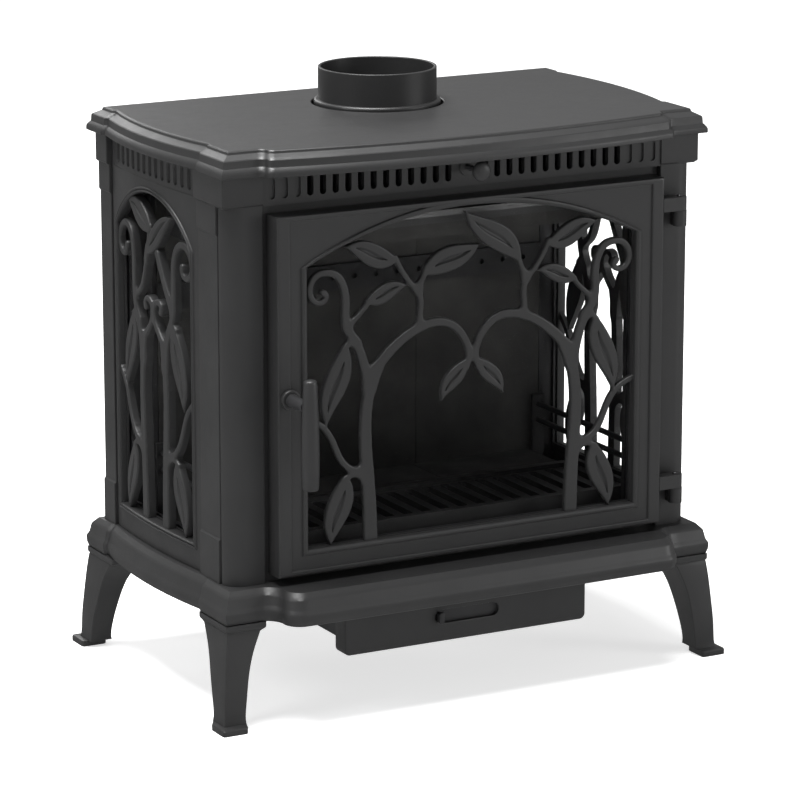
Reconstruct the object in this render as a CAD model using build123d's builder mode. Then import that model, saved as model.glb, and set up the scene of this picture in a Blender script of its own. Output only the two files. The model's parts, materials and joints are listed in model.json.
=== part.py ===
from build123d import *
import os
from math import hypot

os.makedirs("parts", exist_ok=True)

# Cast-iron wood burning stove on four legs, millimetres.
# Origin: bottom centre, on the floor.  +Z up, the door faces -Y, +X to the right.

# ---------------------------------------------------------------- driving sizes
half_w = 343.0        # side faces of the four corner posts
half_d = 191.0        # front and back faces of the posts
leg_h = 138.0         # floor to the underside of the base plate
base_t = 42.0         # height of the base plate's moulding
body_h = 532.0        # firebox body, base plate to top plate
lid_t = 32.0          # height of the top plate's moulding
cast = 9.0            # wall of the body castings
sheet = 6.0           # steel firebox plates
front_post = 85.0     # depth of a front post along the side
rear_post = 36.0      # depth of a rear post along the side
strip_w = 51.0        # width of the posts, seen from the front
column_r = 23.0       # quarter-round column on each front corner

flue_r = 75.0         # bore of the flue collar (150 mm pipe)
flue_wall = 4.0
collar_up = 48.0      # collar above the top plate

door_reveal = 8.0     # gap between the door and each front post
door_gap_z = 11.0     # door above the base plate
door_gap_top = 52.0   # door's top below the top plate
door_t = 31.0
door_plate = 9.0
door_skirt = 6.0
border = 42.0         # door border beside the opening
border_low = 33.0
border_top = 9.5
arch_rise = 58.5
bead = 8.0

win_margin = 18.5     # side window to the ends of its panel
win_low = 35.0
win_top = 57.0
win_rise = 56.5
side_bow = 7.0        # side panel bulges past its posts
glass = 4.0
rim = 3.0             # hidden rim of the fretwork inserts
rim_lap = 8.0

slot_pitch = 18.0
slot_w = 9.0
slot_len = 27.0

pin_r = 4.0
spindle_r = 5.0

run = 0.06            # radial clearance of a pin or shaft that turns
free = 0.4            # clearance between castings that move past each other

# ---------------------------------------------------------------- derived levels
z_base = leg_h
z_body = z_base + base_t
z_lid = z_body + body_h
z_top = z_lid + lid_t
z_fire = z_lid - 44          # top face of the firebox roof plate
strip_x = half_w - strip_w
door_z0 = z_body + door_gap_z
door_h = body_h - door_gap_z - door_gap_top
door_zc = door_z0 + door_h / 2
door_hw = strip_x - door_reveal
door_w = 2 * door_hw
open_hw = door_hw - border
open_sill = door_z0 + border_low
open_apex = door_z0 + door_h - border_top
open_spring = open_apex - arch_rise
slot_z1 = z_lid - 6.0
slot_z0 = slot_z1 - slot_len
frame_y = -(half_d - cast)             # front face of the door surround
door_back = frame_y - 2.0
door_front = door_back - door_t
plate_back = door_front + door_plate
inner_x = half_w - cast                # flat inner face of posts and side panels
side_y0 = -half_d + front_post
side_y1 = half_d - rear_post
side_mid = (side_y0 + side_y1) / 2
win_y = side_mid + 2.0
win_hw = (side_y1 - side_y0) / 2 - win_margin
win_sill = z_body + win_low
win_apex = z_lid - win_top
win_spring = win_apex - win_rise
back_y = half_d - 8.0                  # outer face of the rear heat shield
fire_y = back_y - 33.0                 # front face of the firebox back plate
flue_y = fire_y - flue_r - 21.5        # the pipe stays clear of the back bricks
hinge_x, hinge_y = half_w - 29.0, -half_d - 14.0
latch_x, latch_z = -door_hw + 16.0, z_body + 245.0
n_slots = int((strip_x - 6 - slot_w / 2) / slot_pitch - 1.5) + 1      # slots each side of the knob
n_side = int(((side_y1 - side_y0) / 2 - 16) / slot_pitch)
ash_open_w, ash_open_d, ash_open_y = 320.0, 120.0, -90.0


def front(y):
    """Sketch plane facing the door side at depth y; sketch axes are X and Z."""
    return Plane.XZ.offset(-y)


def right(x):
    """Sketch plane facing +X at x; sketch axes are Y and Z."""
    return Plane.YZ.offset(x)


def arch(c, hw, sill, spring, apex, grow=0.0):
    """Arched opening with straight jambs, drawn as a face in the current sketch."""
    with BuildLine() as outline:
        Polyline((c - hw - grow, spring), (c - hw - grow, sill - grow),
                 (c + hw + grow, sill - grow), (c + hw + grow, spring))
        ThreePointArc((c + hw + grow, spring), (c, apex + grow), (c - hw - grow, spring))
    make_face(outline.edges())


def limb(points, w0, w1):
    """A stem: a spline centre line with a width that runs from w0 to w1."""
    n = len(points)
    left, right_side = [], []
    for i, (x, z) in enumerate(points):
        ax, az = points[max(i - 1, 0)]
        bx, bz = points[min(i + 1, n - 1)]
        d = hypot(bx - ax, bz - az)
        h = (w0 + (w1 - w0) * i / (n - 1)) / 2
        left.append((x - (bz - az) / d * h, z + (bx - ax) / d * h))
        right_side.append((x + (bz - az) / d * h, z - (bx - ax) / d * h))
    with BuildLine() as outline:
        Spline(*left)
        Line(left[-1], right_side[-1])
        Spline(*reversed(right_side))
        Line(right_side[0], left[0])
    make_face(outline.edges())


def leaf(base, tip, up, down):
    """A leaf: two arcs from base to tip that stand off the chord by up and down."""
    dx, dz = tip[0] - base[0], tip[1] - base[1]
    d = hypot(dx, dz)
    mx, mz = base[0] + dx * 0.45, base[1] + dz * 0.45
    with BuildLine() as outline:
        ThreePointArc(base, (mx - dz / d * up, mz + dx / d * up), tip)
        ThreePointArc(tip, (mx + dz / d * down, mz - dx / d * down), base)
    make_face(outline.edges())


def ring(hx, z0, z1, wall, c=0.0, r=0.0):
    """Rectangular frame: outer half width hx, from z0 to z1, with its wall inside."""
    with Locations((c, (z0 + z1) / 2)):
        Rectangle(2 * hx, z1 - z0)
        Rectangle(2 * (hx - wall), z1 - z0 - 2 * wall, mode=Mode.SUBTRACT)


def save(part, name):
    part.label = name
    export_step(part, "parts/" + name + ".step")


def save_pair(part, name):
    """The piece as drawn is the right-hand one; its mirror image is the left-hand one."""
    save(part, name + "_right")
    save(mirror(part, about=Plane.YZ), name + "_left")


def plate_outline(hw, hd, arc_y0, arc_y1, notch, bow, bx0, bx1, step_y, bow_y, grow):
    """Plan of the top or base plate: square corner blocks, bowed sides and a stepped front.

    grow moves every side of it outwards.
    """
    hw, hd, step_y, bow_y = hw + grow, hd + grow, step_y - grow, bow_y - grow
    bx0, bx1 = bx0 + grow / 2, bx1 + grow / 2
    ym = (arc_y0 + arc_y1) / 2
    xm = (bx0 + bx1) / 2
    sm = (-hd + step_y) / 2
    with BuildLine() as outline:
        Polyline((hw - notch, arc_y1), (hw, arc_y1 + notch), (hw, hd), (-hw, hd),
                 (-hw, arc_y1 + notch), (-hw + notch, arc_y1))
        ThreePointArc((-hw + notch, arc_y1), (-hw - bow, ym), (-hw + notch, arc_y0))
        Polyline((-hw + notch, arc_y0), (-hw, arc_y0 - notch), (-hw, -hd), (-bx1, -hd))
        ThreePointArc((-bx1, -hd), (-(bx1 * 0.27 + xm * 0.73), (-hd * 0.65 + sm * 0.35)), (-xm, sm))
        ThreePointArc((-xm, sm), (-(bx0 * 0.27 + xm * 0.73), (step_y * 0.65 + sm * 0.35)), (-bx0, step_y))
        ThreePointArc((-bx0, step_y), (0, bow_y), (bx0, step_y))
        ThreePointArc((bx0, step_y), (bx0 * 0.27 + xm * 0.73, (step_y * 0.65 + sm * 0.35)), (xm, sm))
        ThreePointArc((xm, sm), (bx1 * 0.27 + xm * 0.73, (-hd * 0.65 + sm * 0.35)), (bx1, -hd))
        Polyline((bx1, -hd), (hw, -hd), (hw, arc_y0 - notch), (hw - notch, arc_y0))
        ThreePointArc((hw - notch, arc_y0), (hw + bow, ym), (hw - notch, arc_y1))
    make_face(outline.edges())


def top_plan(grow):
    plate_outline(half_w - 6, half_d - 4, side_y0 - 20, side_y1, 4, 11,
                  half_w - 64, half_w - 46, -half_d - 12, -half_d - 37, grow)


def base_plan(grow):
    plate_outline(half_w + 4, half_d + 11, side_y0 - 26, side_y1 + 3, 4, 8,
                  half_w - 77, half_w - 41, -half_d - 58.5, -half_d - 60, grow)


# ================================================================ top and flue
flue_out = flue_r + flue_wall

with BuildPart() as top_plate:
    for z, h, g in ((z_lid, 6.5, 18.5), (z_lid + 6.5, 5.5, 15.5), (z_lid + 12, 8, 13)):
        with BuildSketch(Plane.XY.offset(z)):
            top_plan(g)
        extrude(amount=h)
    with BuildSketch(Plane.XY.offset(z_lid + 20)):
        top_plan(12.5)
    with BuildSketch(Plane.XY.offset(z_top - 4)):
        top_plan(1.8)
    loft()
    with BuildSketch(Plane.XY.offset(z_top - 4)):
        top_plan(1.8)
    extrude(amount=4)
    # hollow underside over the convection space
    with BuildSketch(Plane.XY.offset(z_lid)):
        Rectangle(2 * (inner_x - 4), 2 * (half_d - 13))
    extrude(amount=lid_t - 8, mode=Mode.SUBTRACT)
    with Locations((0, flue_y, z_top)):
        Hole(flue_out + 9.3)
save(top_plate.part, "top_plate")

with BuildPart() as flue_collar:
    with BuildSketch(Plane.XY.offset(z_fire)):
        with Locations((0, flue_y)):
            Circle(flue_out + 23)
    extrude(amount=6)
    with BuildSketch(Plane.XY.offset(z_fire)):
        with Locations((0, flue_y)):
            Circle(flue_out)
    extrude(amount=z_top + collar_up - z_fire)
    with BuildSketch(Plane.XY.offset(z_top - 5)):
        with Locations((0, flue_y)):
            Circle(flue_out + 5.5)
    extrude(amount=10)
    fillet(flue_collar.edges().filter_by(GeomType.CIRCLE).filter_by(
        lambda e: abs(e.radius - flue_out - 5.5) < 0.1), 3.5)
    with Locations((0, flue_y, z_top + collar_up)):
        Hole(flue_r)
    with Locations((0, flue_y, z_fire + 6)):
        with PolarLocations(flue_out + 14, 4, start_angle=45):
            Hole(3.1, depth=6)
    fillet(flue_collar.edges().filter_by(GeomType.CIRCLE).group_by(Axis.Z)[-1], 1.2)
save(flue_collar.part, "flue_collar")

with BuildPart() as collar_bolts:
    with Locations((0, flue_y, z_fire)):
        with PolarLocations(flue_out + 14, 4, start_angle=45):
            Cylinder(3, 16, align=(Align.CENTER, Align.CENTER, Align.MAX))
            Cylinder(3, 6, align=(Align.CENTER, Align.CENTER, Align.MIN))
    with BuildSketch(Plane.XY.offset(z_fire + 6)):
        with Locations((0, flue_y)):
            with PolarLocations(flue_out + 14, 4, start_angle=45):
                RegularPolygon(6, 6)
    extrude(amount=4)
save(collar_bolts.part, "collar_bolts")

# ================================================================ base plate and legs
boss_x, boss_y = half_w - 17, half_d - 11       # leg bolt positions

with BuildPart() as base_plate:
    for z, h, g in ((z_base, 6, 11.5), (z_base + 6, 9.5, 14.3), (z_base + 15.5, 5.5, 12.5)):
        with BuildSketch(Plane.XY.offset(z)):
            base_plan(g)
        extrude(amount=h)
    with BuildSketch(Plane.XY.offset(z_base + 21)):
        base_plan(11.4)
    with BuildSketch(Plane.XY.offset(z_base + 33)):
        base_plan(8.8)
    loft()
    with BuildSketch(Plane.XY.offset(z_base + 33)):
        base_plan(8.8)
    with BuildSketch(Plane.XY.offset(z_body)):
        base_plan(1.8)
    loft()
    with BuildSketch(Plane.XY.offset(z_base)):
        with Locations((0, -20)):
            Rectangle(2 * (boss_x - 36), 2 * (half_d + 14))
        with Locations((0, 0)):
            Rectangle(2 * (boss_x + 14), 2 * (boss_y - 56))
    extrude(amount=base_t - 9, mode=Mode.SUBTRACT)
    with BuildSketch(Plane.XY.offset(z_body)):
        with Locations((0, ash_open_y)):
            Rectangle(ash_open_w, ash_open_d)
    extrude(amount=-base_t, mode=Mode.SUBTRACT)
    with Locations(*[(sx * boss_x, sy * boss_y, z_base) for sx in (-1, 1) for sy in (-1, 1)]):
        Hole(5.2, depth=26)
save(base_plate.part, "base_plate")

# front-right leg: (level, outer corner x, outer corner y, width x, width y)
leg_sections = ((leg_h, 14.5, 22.5, 51, 76), (leg_h * 0.87, 17, 25.5, 45, 65), (leg_h * 0.72, 19.5, 28, 38.5, 54),
                (leg_h * 0.5, 22.2, 30.8, 33.5, 46), (leg_h * 0.28, 24.5, 33, 31.5, 38), (9, 26, 34.5, 31, 34))
with BuildPart() as leg:
    for z, ox, oy, wx, wy in leg_sections:
        with BuildSketch(Plane.XY.offset(z)):
            with Locations((half_w + ox - wx / 2, -(half_d + oy - wy / 2))):
                Rectangle(wx, wy)
    loft()
    with BuildSketch(Plane.XY.offset(leg_h - 8)):       # moulded collar under the base plate
        with Locations((half_w + 17.5 - 57 / 2, -(half_d + 25.5 - 82 / 2))):
            Rectangle(57, 82)
    extrude(amount=8)
    with BuildSketch():
        with Locations((half_w + 34 - 18, -(half_d + 48 - 19))):
            RectangleRounded(36, 38, 4)
    extrude(amount=9)
    with Locations((boss_x, -boss_y, leg_h)):
        Hole(5.2, depth=20)
save(leg.part, "leg_front_right")
save(mirror(leg.part, about=Plane.YZ), "leg_front_left")
save(mirror(leg.part, about=Plane.XZ), "leg_rear_right")
save(mirror(mirror(leg.part, about=Plane.XZ), about=Plane.YZ), "leg_rear_left")

with BuildPart() as leg_bolts:
    with Locations(*[(sx * boss_x, sy * boss_y, leg_h) for sx in (-1, 1) for sy in (-1, 1)]):
        Cylinder(5, 26, align=(Align.CENTER, Align.CENTER, Align.MIN))
        Cylinder(5, 18, align=(Align.CENTER, Align.CENTER, Align.MAX))
save(leg_bolts.part, "leg_bolts")

# ================================================================ corner posts
def front_post_plan():
    """Front strip, quarter-round column and side pilaster."""
    cx, cy = half_w - column_r, -half_d + column_r
    with BuildLine() as outline:
        Polyline((strip_x, frame_y), (strip_x, -half_d), (cx, -half_d))
        ThreePointArc((cx, -half_d), (cx + column_r * 0.7071, cy - column_r * 0.7071), (half_w, cy))
        Polyline((half_w, cy), (half_w, side_y0 - 2), (inner_x, side_y0 - 2), (inner_x, frame_y), (strip_x, frame_y))
    make_face(outline.edges())


plinth_h, plinth_grow = 58.0, 2.2
post_levels = ((0, plinth_h, plinth_grow), (plinth_h, body_h - 78, 0),
               (body_h - 78, body_h - 40, 2.2), (body_h - 40, body_h, 6.0))
capital_proud = 2.0     # how far the square capital block stands in front of the strip
pilaster_y0 = -half_d + column_r + 4
with BuildPart() as post_front:
    with BuildSketch(Plane.XY.offset(z_body)):
        front_post_plan()
    extrude(amount=body_h)
    for a, b, g in post_levels[:3:2]:       # the plinth and the collar stand on the pilaster only
        with BuildSketch(Plane.XY.offset(z_body + a)):
            with Locations(((inner_x + half_w + g) / 2, (pilaster_y0 + side_y0 - 2) / 2)):
                Rectangle(half_w + g - inner_x, side_y0 - 2 - pilaster_y0)
        extrude(amount=b - a)
    a, b, g = post_levels[3]
    with BuildSketch(Plane.XY.offset(z_body + a)):
        with BuildLine():
            Polyline((strip_x, frame_y), (strip_x, -half_d - capital_proud), (half_w + g, -half_d - capital_proud),
                     (half_w + g, side_y0 - 2), (inner_x, side_y0 - 2), (inner_x, frame_y), close=True)
        make_face()
    extrude(amount=b - a)
save_pair(post_front.part, "post_front")

with BuildPart() as post_rear:
    for a, b, g in post_levels:
        with BuildSketch(Plane.XY.offset(z_body + a)):
            with BuildLine():
                Polyline((strip_x, back_y), (strip_x, half_d), (half_w + g, half_d), (half_w + g, side_y1 + 2),
                         (inner_x, side_y1 + 2), (inner_x, back_y), close=True)
            make_face()
        extrude(amount=b - a)
save_pair(post_rear.part, "post_rear")

# ================================================================ front castings
rope_hx = door_hw - 27.5        # centre line of the door rope
rope_z0, rope_z1 = door_z0 + 15, door_z0 + door_h - 20
mouth_hw, mouth_z0, mouth_z1 = rope_hx - 8.5, rope_z0 + 6, rope_z1 - 16
with BuildPart() as front_frame:
    with BuildSketch(front(frame_y + 8)):
        with Locations((0, (z_body + z_fire + 6) / 2)):
            Rectangle(2 * inner_x, z_fire + 6 - z_body)
        with Locations((0, (mouth_z0 + mouth_z1) / 2)):
            Rectangle(2 * mouth_hw, mouth_z1 - mouth_z0, mode=Mode.SUBTRACT)
    extrude(amount=8)
    # raised knife edge that the door rope seals on
    with BuildSketch(front(frame_y)):
        ring(rope_hx + 1.5, rope_z0 - 1.5, rope_z1 + 1.5, 3)
    extrude(amount=5.6)
save(front_frame.part, "front_frame")

rod_z = z_lid - 16.0   # pull rod of the upper air control
rod_r = 4.0
knob_y = -half_d - 37
with BuildPart() as top_grille:
    with BuildSketch(front(frame_y)):
        with Locations((0, (z_lid - 41 + z_lid) / 2)):
            Rectangle(2 * strip_x, 41)
    extrude(amount=cast)
    with BuildSketch(front(-half_d)):
        with Locations(*[(s * (1.5 + i) * slot_pitch, (slot_z0 + slot_z1) / 2) for i in range(n_slots - 3) for s in (-1, 1)]):
            SlotOverall(slot_z1 - slot_z0, slot_w, rotation=90)
    extrude(amount=-cast, mode=Mode.SUBTRACT)
    # blind slots at both ends
    with BuildSketch(front(-half_d)):
        with Locations(*[(s * (n_slots - 1.5 + i) * slot_pitch, (slot_z0 + slot_z1) / 2) for i in range(3) for s in (-1, 1)]):
            SlotOverall(slot_z1 - slot_z0, slot_w, rotation=90)
    extrude(amount=-2.5, mode=Mode.SUBTRACT)
    with BuildSketch(front(-half_d)):
        with Locations((0, rod_z)):
            Circle(11)
    extrude(amount=2)
    with BuildSketch(front(-half_d - 2)):
        with Locations((0, rod_z)):
            Circle(rod_r + run)
    extrude(amount=-cast - 2, mode=Mode.SUBTRACT)
save(top_grille.part, "top_grille")

# ================================================================ side panels
with BuildPart() as side_panel:
    with BuildSketch(Plane.XY.offset(z_body)):
        with BuildLine():
            Polyline((half_w - 2, side_y0), (inner_x, side_y0), (inner_x, side_y1), (half_w - 2, side_y1))
            ThreePointArc((half_w - 2, side_y1), (half_w + side_bow - 2, side_mid), (half_w - 2, side_y0))
        make_face()
    extrude(amount=body_h)
    # raised moulding that follows the window: a slice of the bulge, 2 mm prouder
    with BuildSketch(right(inner_x)):
        arch(win_y, win_hw, win_sill, win_spring, win_apex, bead)
    moulding = extrude(amount=30, mode=Mode.PRIVATE)
    with BuildSketch(Plane.XY.offset(z_body), mode=Mode.PRIVATE) as proud:
        with BuildLine():
            Polyline((half_w, side_y0), (inner_x, side_y0), (inner_x, side_y1), (half_w, side_y1))
            ThreePointArc((half_w, side_y1), (half_w + side_bow, side_mid), (half_w, side_y0))
        make_face()
    add(extrude(proud.sketch, amount=body_h, mode=Mode.PRIVATE) & moulding)
    with BuildSketch(right(inner_x)):
        arch(win_y, win_hw, win_sill, win_spring, win_apex)
    extrude(amount=40, mode=Mode.SUBTRACT)
    with BuildSketch(right(half_w - 4)):     # blind slots that carry on the row of the front grille
        with Locations(*[(side_mid + i * slot_pitch, (slot_z0 + slot_z1) / 2) for i in range(-n_side, n_side + 1)]):
            SlotOverall(slot_z1 - slot_z0, slot_w, rotation=90)
    extrude(amount=40, mode=Mode.SUBTRACT)
save_pair(side_panel.part, "side_panel")

# side window insert: two young trees, cast with a thin rim that hides behind the panel
insert_x = inner_x - rim


def W(y, z):
    """A point of the side trees, drawn for a 224 x 428.5 window and fitted to this one."""
    return (win_y + y * win_hw / 112, win_sill + (z - 218) * (win_apex - win_sill) / 428.5)


limb_x0, limb_x1 = inner_x, half_w + 2.5
with BuildPart() as side_fretwork:
    with BuildSketch(right(insert_x)):
        arch(win_y, win_hw, win_sill, win_spring, win_apex, rim_lap - 2)
        with BuildSketch(mode=Mode.SUBTRACT):
            arch(win_y, win_hw, win_sill, win_spring, win_apex, -1.5)
    extrude(amount=rim)
    with BuildSketch(right(insert_x)):
        for s in (-1, 1):
            limb([W(s * 31, 214), W(s * 33, 300), W(s * 36, 400), W(s * 30, 452)], 17, 17)
            limb([W(s * 33, 425), W(s * 29, 455), W(s * 12, 473), W(s * 2, 492),
                  W(s * 8, 506), W(s * 20, 508), W(s * 25, 500)], 12, 8)
            limb([W(s * 33, 430), W(s * 44, 470), W(s * 57, 500), W(s * 60, 550),
                  W(s * 67, 583), W(s * 86, 595), W(s * 106, 585), W(s * 111.5, 566),
                  W(s * 101, 555), W(s * 86, 558), W(s * 82, 570)], 15, 8)
            limb([W(s * 36, 312), W(s * 58, 320), W(s * 80, 350), W(s * 94, 380),
                  W(s * 114, 400)], 9, 7)
            limb([W(s * 38, 305), W(s * 52, 313), W(s * 68, 308)], 7, 6)
            limb([W(s * 45, 476), W(s * 56, 483), W(s * 66, 480)], 8, 7)
        limb([W(56, 506), W(36, 520), W(24, 545), W(15, 575)], 9, 8)
        limb([W(20, 560), W(12, 585), W(6, 606)], 7, 7)
        limb([W(-56, 506), W(-36, 535), W(-14, 572)], 13, 11)
        leaf(W(20, 566), W(-58, 625), 8, 16)
        leaf(W(3, 600), W(76, 629), 16, 13)
        leaf(W(-60, 486), W(-86, 382), 15, 17)
        leaf(W(60, 486), W(87, 384), 16, 15)
        leaf(W(-64, 311), W(-86, 219), 14, 15)
        leaf(W(64, 311), W(86, 219), 15, 14)
        with BuildSketch(mode=Mode.INTERSECT):
            arch(win_y, win_hw, win_sill, win_spring, win_apex, -0.2)
    extrude(amount=limb_x1 - insert_x)
save_pair(side_fretwork.part, "side_fretwork")

glass_x = insert_x - glass
with BuildPart() as side_glass:
    with BuildSketch(right(glass_x)):
        with Locations((win_y, (win_sill - 8 + win_apex + 6) / 2)):
            Rectangle(2 * win_hw + 14, win_apex - win_sill + 14)
    extrude(amount=glass)
save_pair(side_glass.part, "side_glass")

with BuildPart() as side_retainer:
    with BuildSketch(right(glass_x - 3)):
        with Locations((win_y, (win_sill - 8 + win_apex + 6) / 2)):
            Rectangle(2 * win_hw + 14, win_apex - win_sill + 14)
            Rectangle(2 * win_hw - 4, win_apex - win_sill - 6, mode=Mode.SUBTRACT)
    extrude(amount=3)
save_pair(side_retainer.part, "side_glass_retainer")

# ================================================================ rear and firebox shell
with BuildPart() as back_panel:
    with BuildSketch(front(back_y)):
        with Locations((0, (z_body + z_lid) / 2)):
            Rectangle(2 * inner_x, body_h)
        with Locations(*[(i * 40, z_body + 60 + k * 90) for i in range(-5, 6) for k in range(2)]):
            SlotOverall(60, 10, rotation=90, mode=Mode.SUBTRACT)
    extrude(amount=2)
save(back_panel.part, "back_heat_shield")

with BuildPart() as firebox_back:
    with BuildSketch(front(fire_y + sheet)):
        with Locations((0, (z_body + z_fire) / 2)):
            Rectangle(2 * inner_x, z_fire - z_body)
    extrude(amount=sheet)
save(firebox_back.part, "firebox_back")

with BuildPart() as firebox_top:
    with BuildSketch(Plane.XY.offset(z_fire - sheet)):
        with Locations((0, (frame_y + 8 + fire_y) / 2)):
            Rectangle(2 * inner_x, fire_y - frame_y - 8)
        with Locations((0, flue_y)):
            Circle(flue_out - 2, mode=Mode.SUBTRACT)
        with Locations((0, flue_y)):
            with PolarLocations(flue_out + 14, 4, start_angle=45):
                Circle(3.1, mode=Mode.SUBTRACT)
        # airwash inlet slots under the upper shutter
        with Locations(*[(i * 44, frame_y + 56) for i in range(-4, 5)]):
            Rectangle(24, 10, mode=Mode.SUBTRACT)
    extrude(amount=sheet)
save(firebox_top.part, "firebox_top")

with BuildPart() as firebox_floor:
    with BuildSketch(Plane.XY.offset(z_body)):
        with Locations((0, (frame_y + 8 + fire_y) / 2)):
            Rectangle(2 * inner_x, fire_y - frame_y - 8)
        with Locations((0, ash_open_y)):
            Rectangle(ash_open_w, ash_open_d, mode=Mode.SUBTRACT)
    extrude(amount=8)
save(firebox_floor.part, "firebox_floor")

floor_z = z_body + 8
brick_y = fire_y - 25
band_z0 = z_fire - 192
band_z1 = band_z0 + 36
lining_hw = half_w - 50
with BuildPart() as back_bricks:
    with BuildSketch(front(fire_y)):
        for i in range(-1, 2):
            with Locations((i * 2 * lining_hw / 3, (floor_z + band_z0) / 2)):
                Rectangle(2 * lining_hw / 3 - 1, band_z0 - floor_z)
            with Locations((i * 2 * lining_hw / 3, (band_z1 + z_fire - sheet) / 2)):
                Rectangle(2 * lining_hw / 3 - 1, z_fire - sheet - band_z1)
    extrude(amount=25)
save(back_bricks.part, "back_bricks")

n_holes = int((lining_hw - 20) / 33)
with BuildPart() as air_manifold:
    with BuildSketch(front(fire_y)):
        with Locations((0, (band_z0 + band_z1) / 2)):
            Rectangle(2 * lining_hw, band_z1 - band_z0)
    extrude(amount=30)
    with BuildSketch(front(fire_y)):
        with Locations((0, (band_z0 + band_z1) / 2)):
            Rectangle(2 * lining_hw - 6, band_z1 - band_z0 - 6)
    extrude(amount=27, mode=Mode.SUBTRACT)
    with BuildSketch(front(brick_y - 5)):
        with Locations(*[(i * 33, (band_z0 + band_z1) / 2) for i in range(-n_holes, n_holes + 1)]):
            Circle(3.5)
    extrude(amount=-4, mode=Mode.SUBTRACT)
save(air_manifold.part, "secondary_air_manifold")

with BuildPart() as brick_retainers:
    with BuildSketch(Plane.XY.offset(floor_z)):
        for s in (-1, 1):
            with Locations((s * (lining_hw + 15.5), fire_y - 5)):
                Rectangle(29, 10)
            with Locations((s * (lining_hw + 4), fire_y - 17)):
                Rectangle(6, 14)
    extrude(amount=z_fire - sheet - floor_z)
save(brick_retainers.part, "brick_retainers")

grate_hw = half_w - 67
grate_y0 = frame_y + 14
grate_y1 = grate_y0 + 154
grate_z = z_body + 55
with BuildPart() as hearth_bricks:
    with BuildSketch(Plane.XY.offset(floor_z)):
        for i in range(-1, 2):
            with Locations((i * 2 * grate_hw / 3, (grate_y1 + 2 + brick_y) / 2)):
                Rectangle(2 * grate_hw / 3 - 1, brick_y - grate_y1 - 2)
    extrude(amount=29)
save(hearth_bricks.part, "hearth_bricks")

with BuildPart() as ash_chute:
    with BuildSketch(Plane.XY.offset(floor_z)):
        with Locations((0, (grate_y0 + grate_y1) / 2)):
            Rectangle(2 * grate_hw, grate_y1 - grate_y0)
            Rectangle(2 * grate_hw - 12, grate_y1 - grate_y0 - 12, mode=Mode.SUBTRACT)
    extrude(amount=grate_z - 18 - floor_z)
save(ash_chute.part, "grate_support")

with BuildPart() as grate:
    with BuildSketch(Plane.XY.offset(grate_z - 18)):
        with Locations((0, (grate_y0 + grate_y1) / 2)):
            Rectangle(2 * grate_hw, grate_y1 - grate_y0)
            with GridLocations(27.5, 1, int((2 * grate_hw - 26) / 27.5), 1):
                SlotOverall(grate_y1 - grate_y0 - 26, 14, rotation=90, mode=Mode.SUBTRACT)
    extrude(amount=18)
    # the slats sit 6 mm below the front and rear bars
    with BuildSketch(Plane.XY.offset(grate_z)):
        with Locations((0, (grate_y0 + grate_y1) / 2)):
            Rectangle(2 * grate_hw - 14, grate_y1 - grate_y0 - 24)
    extrude(amount=-6, mode=Mode.SUBTRACT)
save(grate.part, "log_grate")

guard_x = half_w - 53
guard_z = grate_z + 60
with BuildPart() as log_guard:
    for y0, y1 in ((frame_y + 8, frame_y + 14), (brick_y - 6, brick_y - 0.2)):
        with BuildSketch(front(y1)):
            with Locations((guard_x, (floor_z + guard_z) / 2)):
                Rectangle(18, guard_z - floor_z)
        extrude(amount=y1 - y0)
    for z in (guard_z - 37, guard_z - 14):
        with BuildSketch(front(brick_y - 3)):
            with Locations((guard_x, z)):
                Circle(4)
        extrude(amount=brick_y - 3 - frame_y - 11)
save_pair(log_guard.part, "log_guard")

baffle_z = z_fire - 86
with BuildPart() as baffle_rails:
    with BuildSketch(Plane.XY.offset(baffle_z - 4)):
        for s in (-1, 1):
            with Locations((s * (grate_hw - 12), (brick_y - 60) / 2)):
                Rectangle(28, brick_y + 60)
    extrude(amount=4)
    with BuildSketch(Plane.XY.offset(baffle_z)):
        for s in (-1, 1):
            with Locations((s * grate_hw, (brick_y - 60) / 2)):
                Rectangle(4, brick_y + 60)
    extrude(amount=40)
save(baffle_rails.part, "baffle_rails")

with BuildPart() as baffle:
    with BuildSketch(Plane.XY.offset(baffle_z)):
        with Locations((0, (brick_y - 78) / 2)):
            Rectangle(2 * grate_hw - 6, brick_y + 76)
    extrude(amount=20)
save(baffle.part, "baffle_plate")

duct_hw, duct_z = rope_hx - 6.5, z_fire - 31
with BuildPart() as airwash_duct:
    with BuildSketch(right(-duct_hw)):
        with BuildLine():
            Polyline((frame_y + 8, duct_z), (frame_y + 34, duct_z), (frame_y + 44, duct_z + 10),
                     (frame_y + 70, duct_z + 10), (frame_y + 70, z_fire - sheet), (frame_y + 67, z_fire - sheet),
                     (frame_y + 67, duct_z + 13), (frame_y + 42.5, duct_z + 13), (frame_y + 32.5, duct_z + 3),
                     (frame_y + 8, duct_z + 3), close=True)
        make_face()
    extrude(amount=2 * duct_hw)
    with BuildSketch(Plane.XY.offset(duct_z)):
        with Locations((0, frame_y + 13)):
            Rectangle(2 * duct_hw - 30, 5)
    extrude(amount=3, mode=Mode.SUBTRACT)
save(airwash_duct.part, "airwash_duct")

# ================================================================ door
def D(x, z):
    """A point of the door trees, drawn for a 484 x 426.5 opening and fitted to this one."""
    return (x * open_hw / 242, open_sill + (z - 224) * (open_apex - open_sill) / 426.5)


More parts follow.
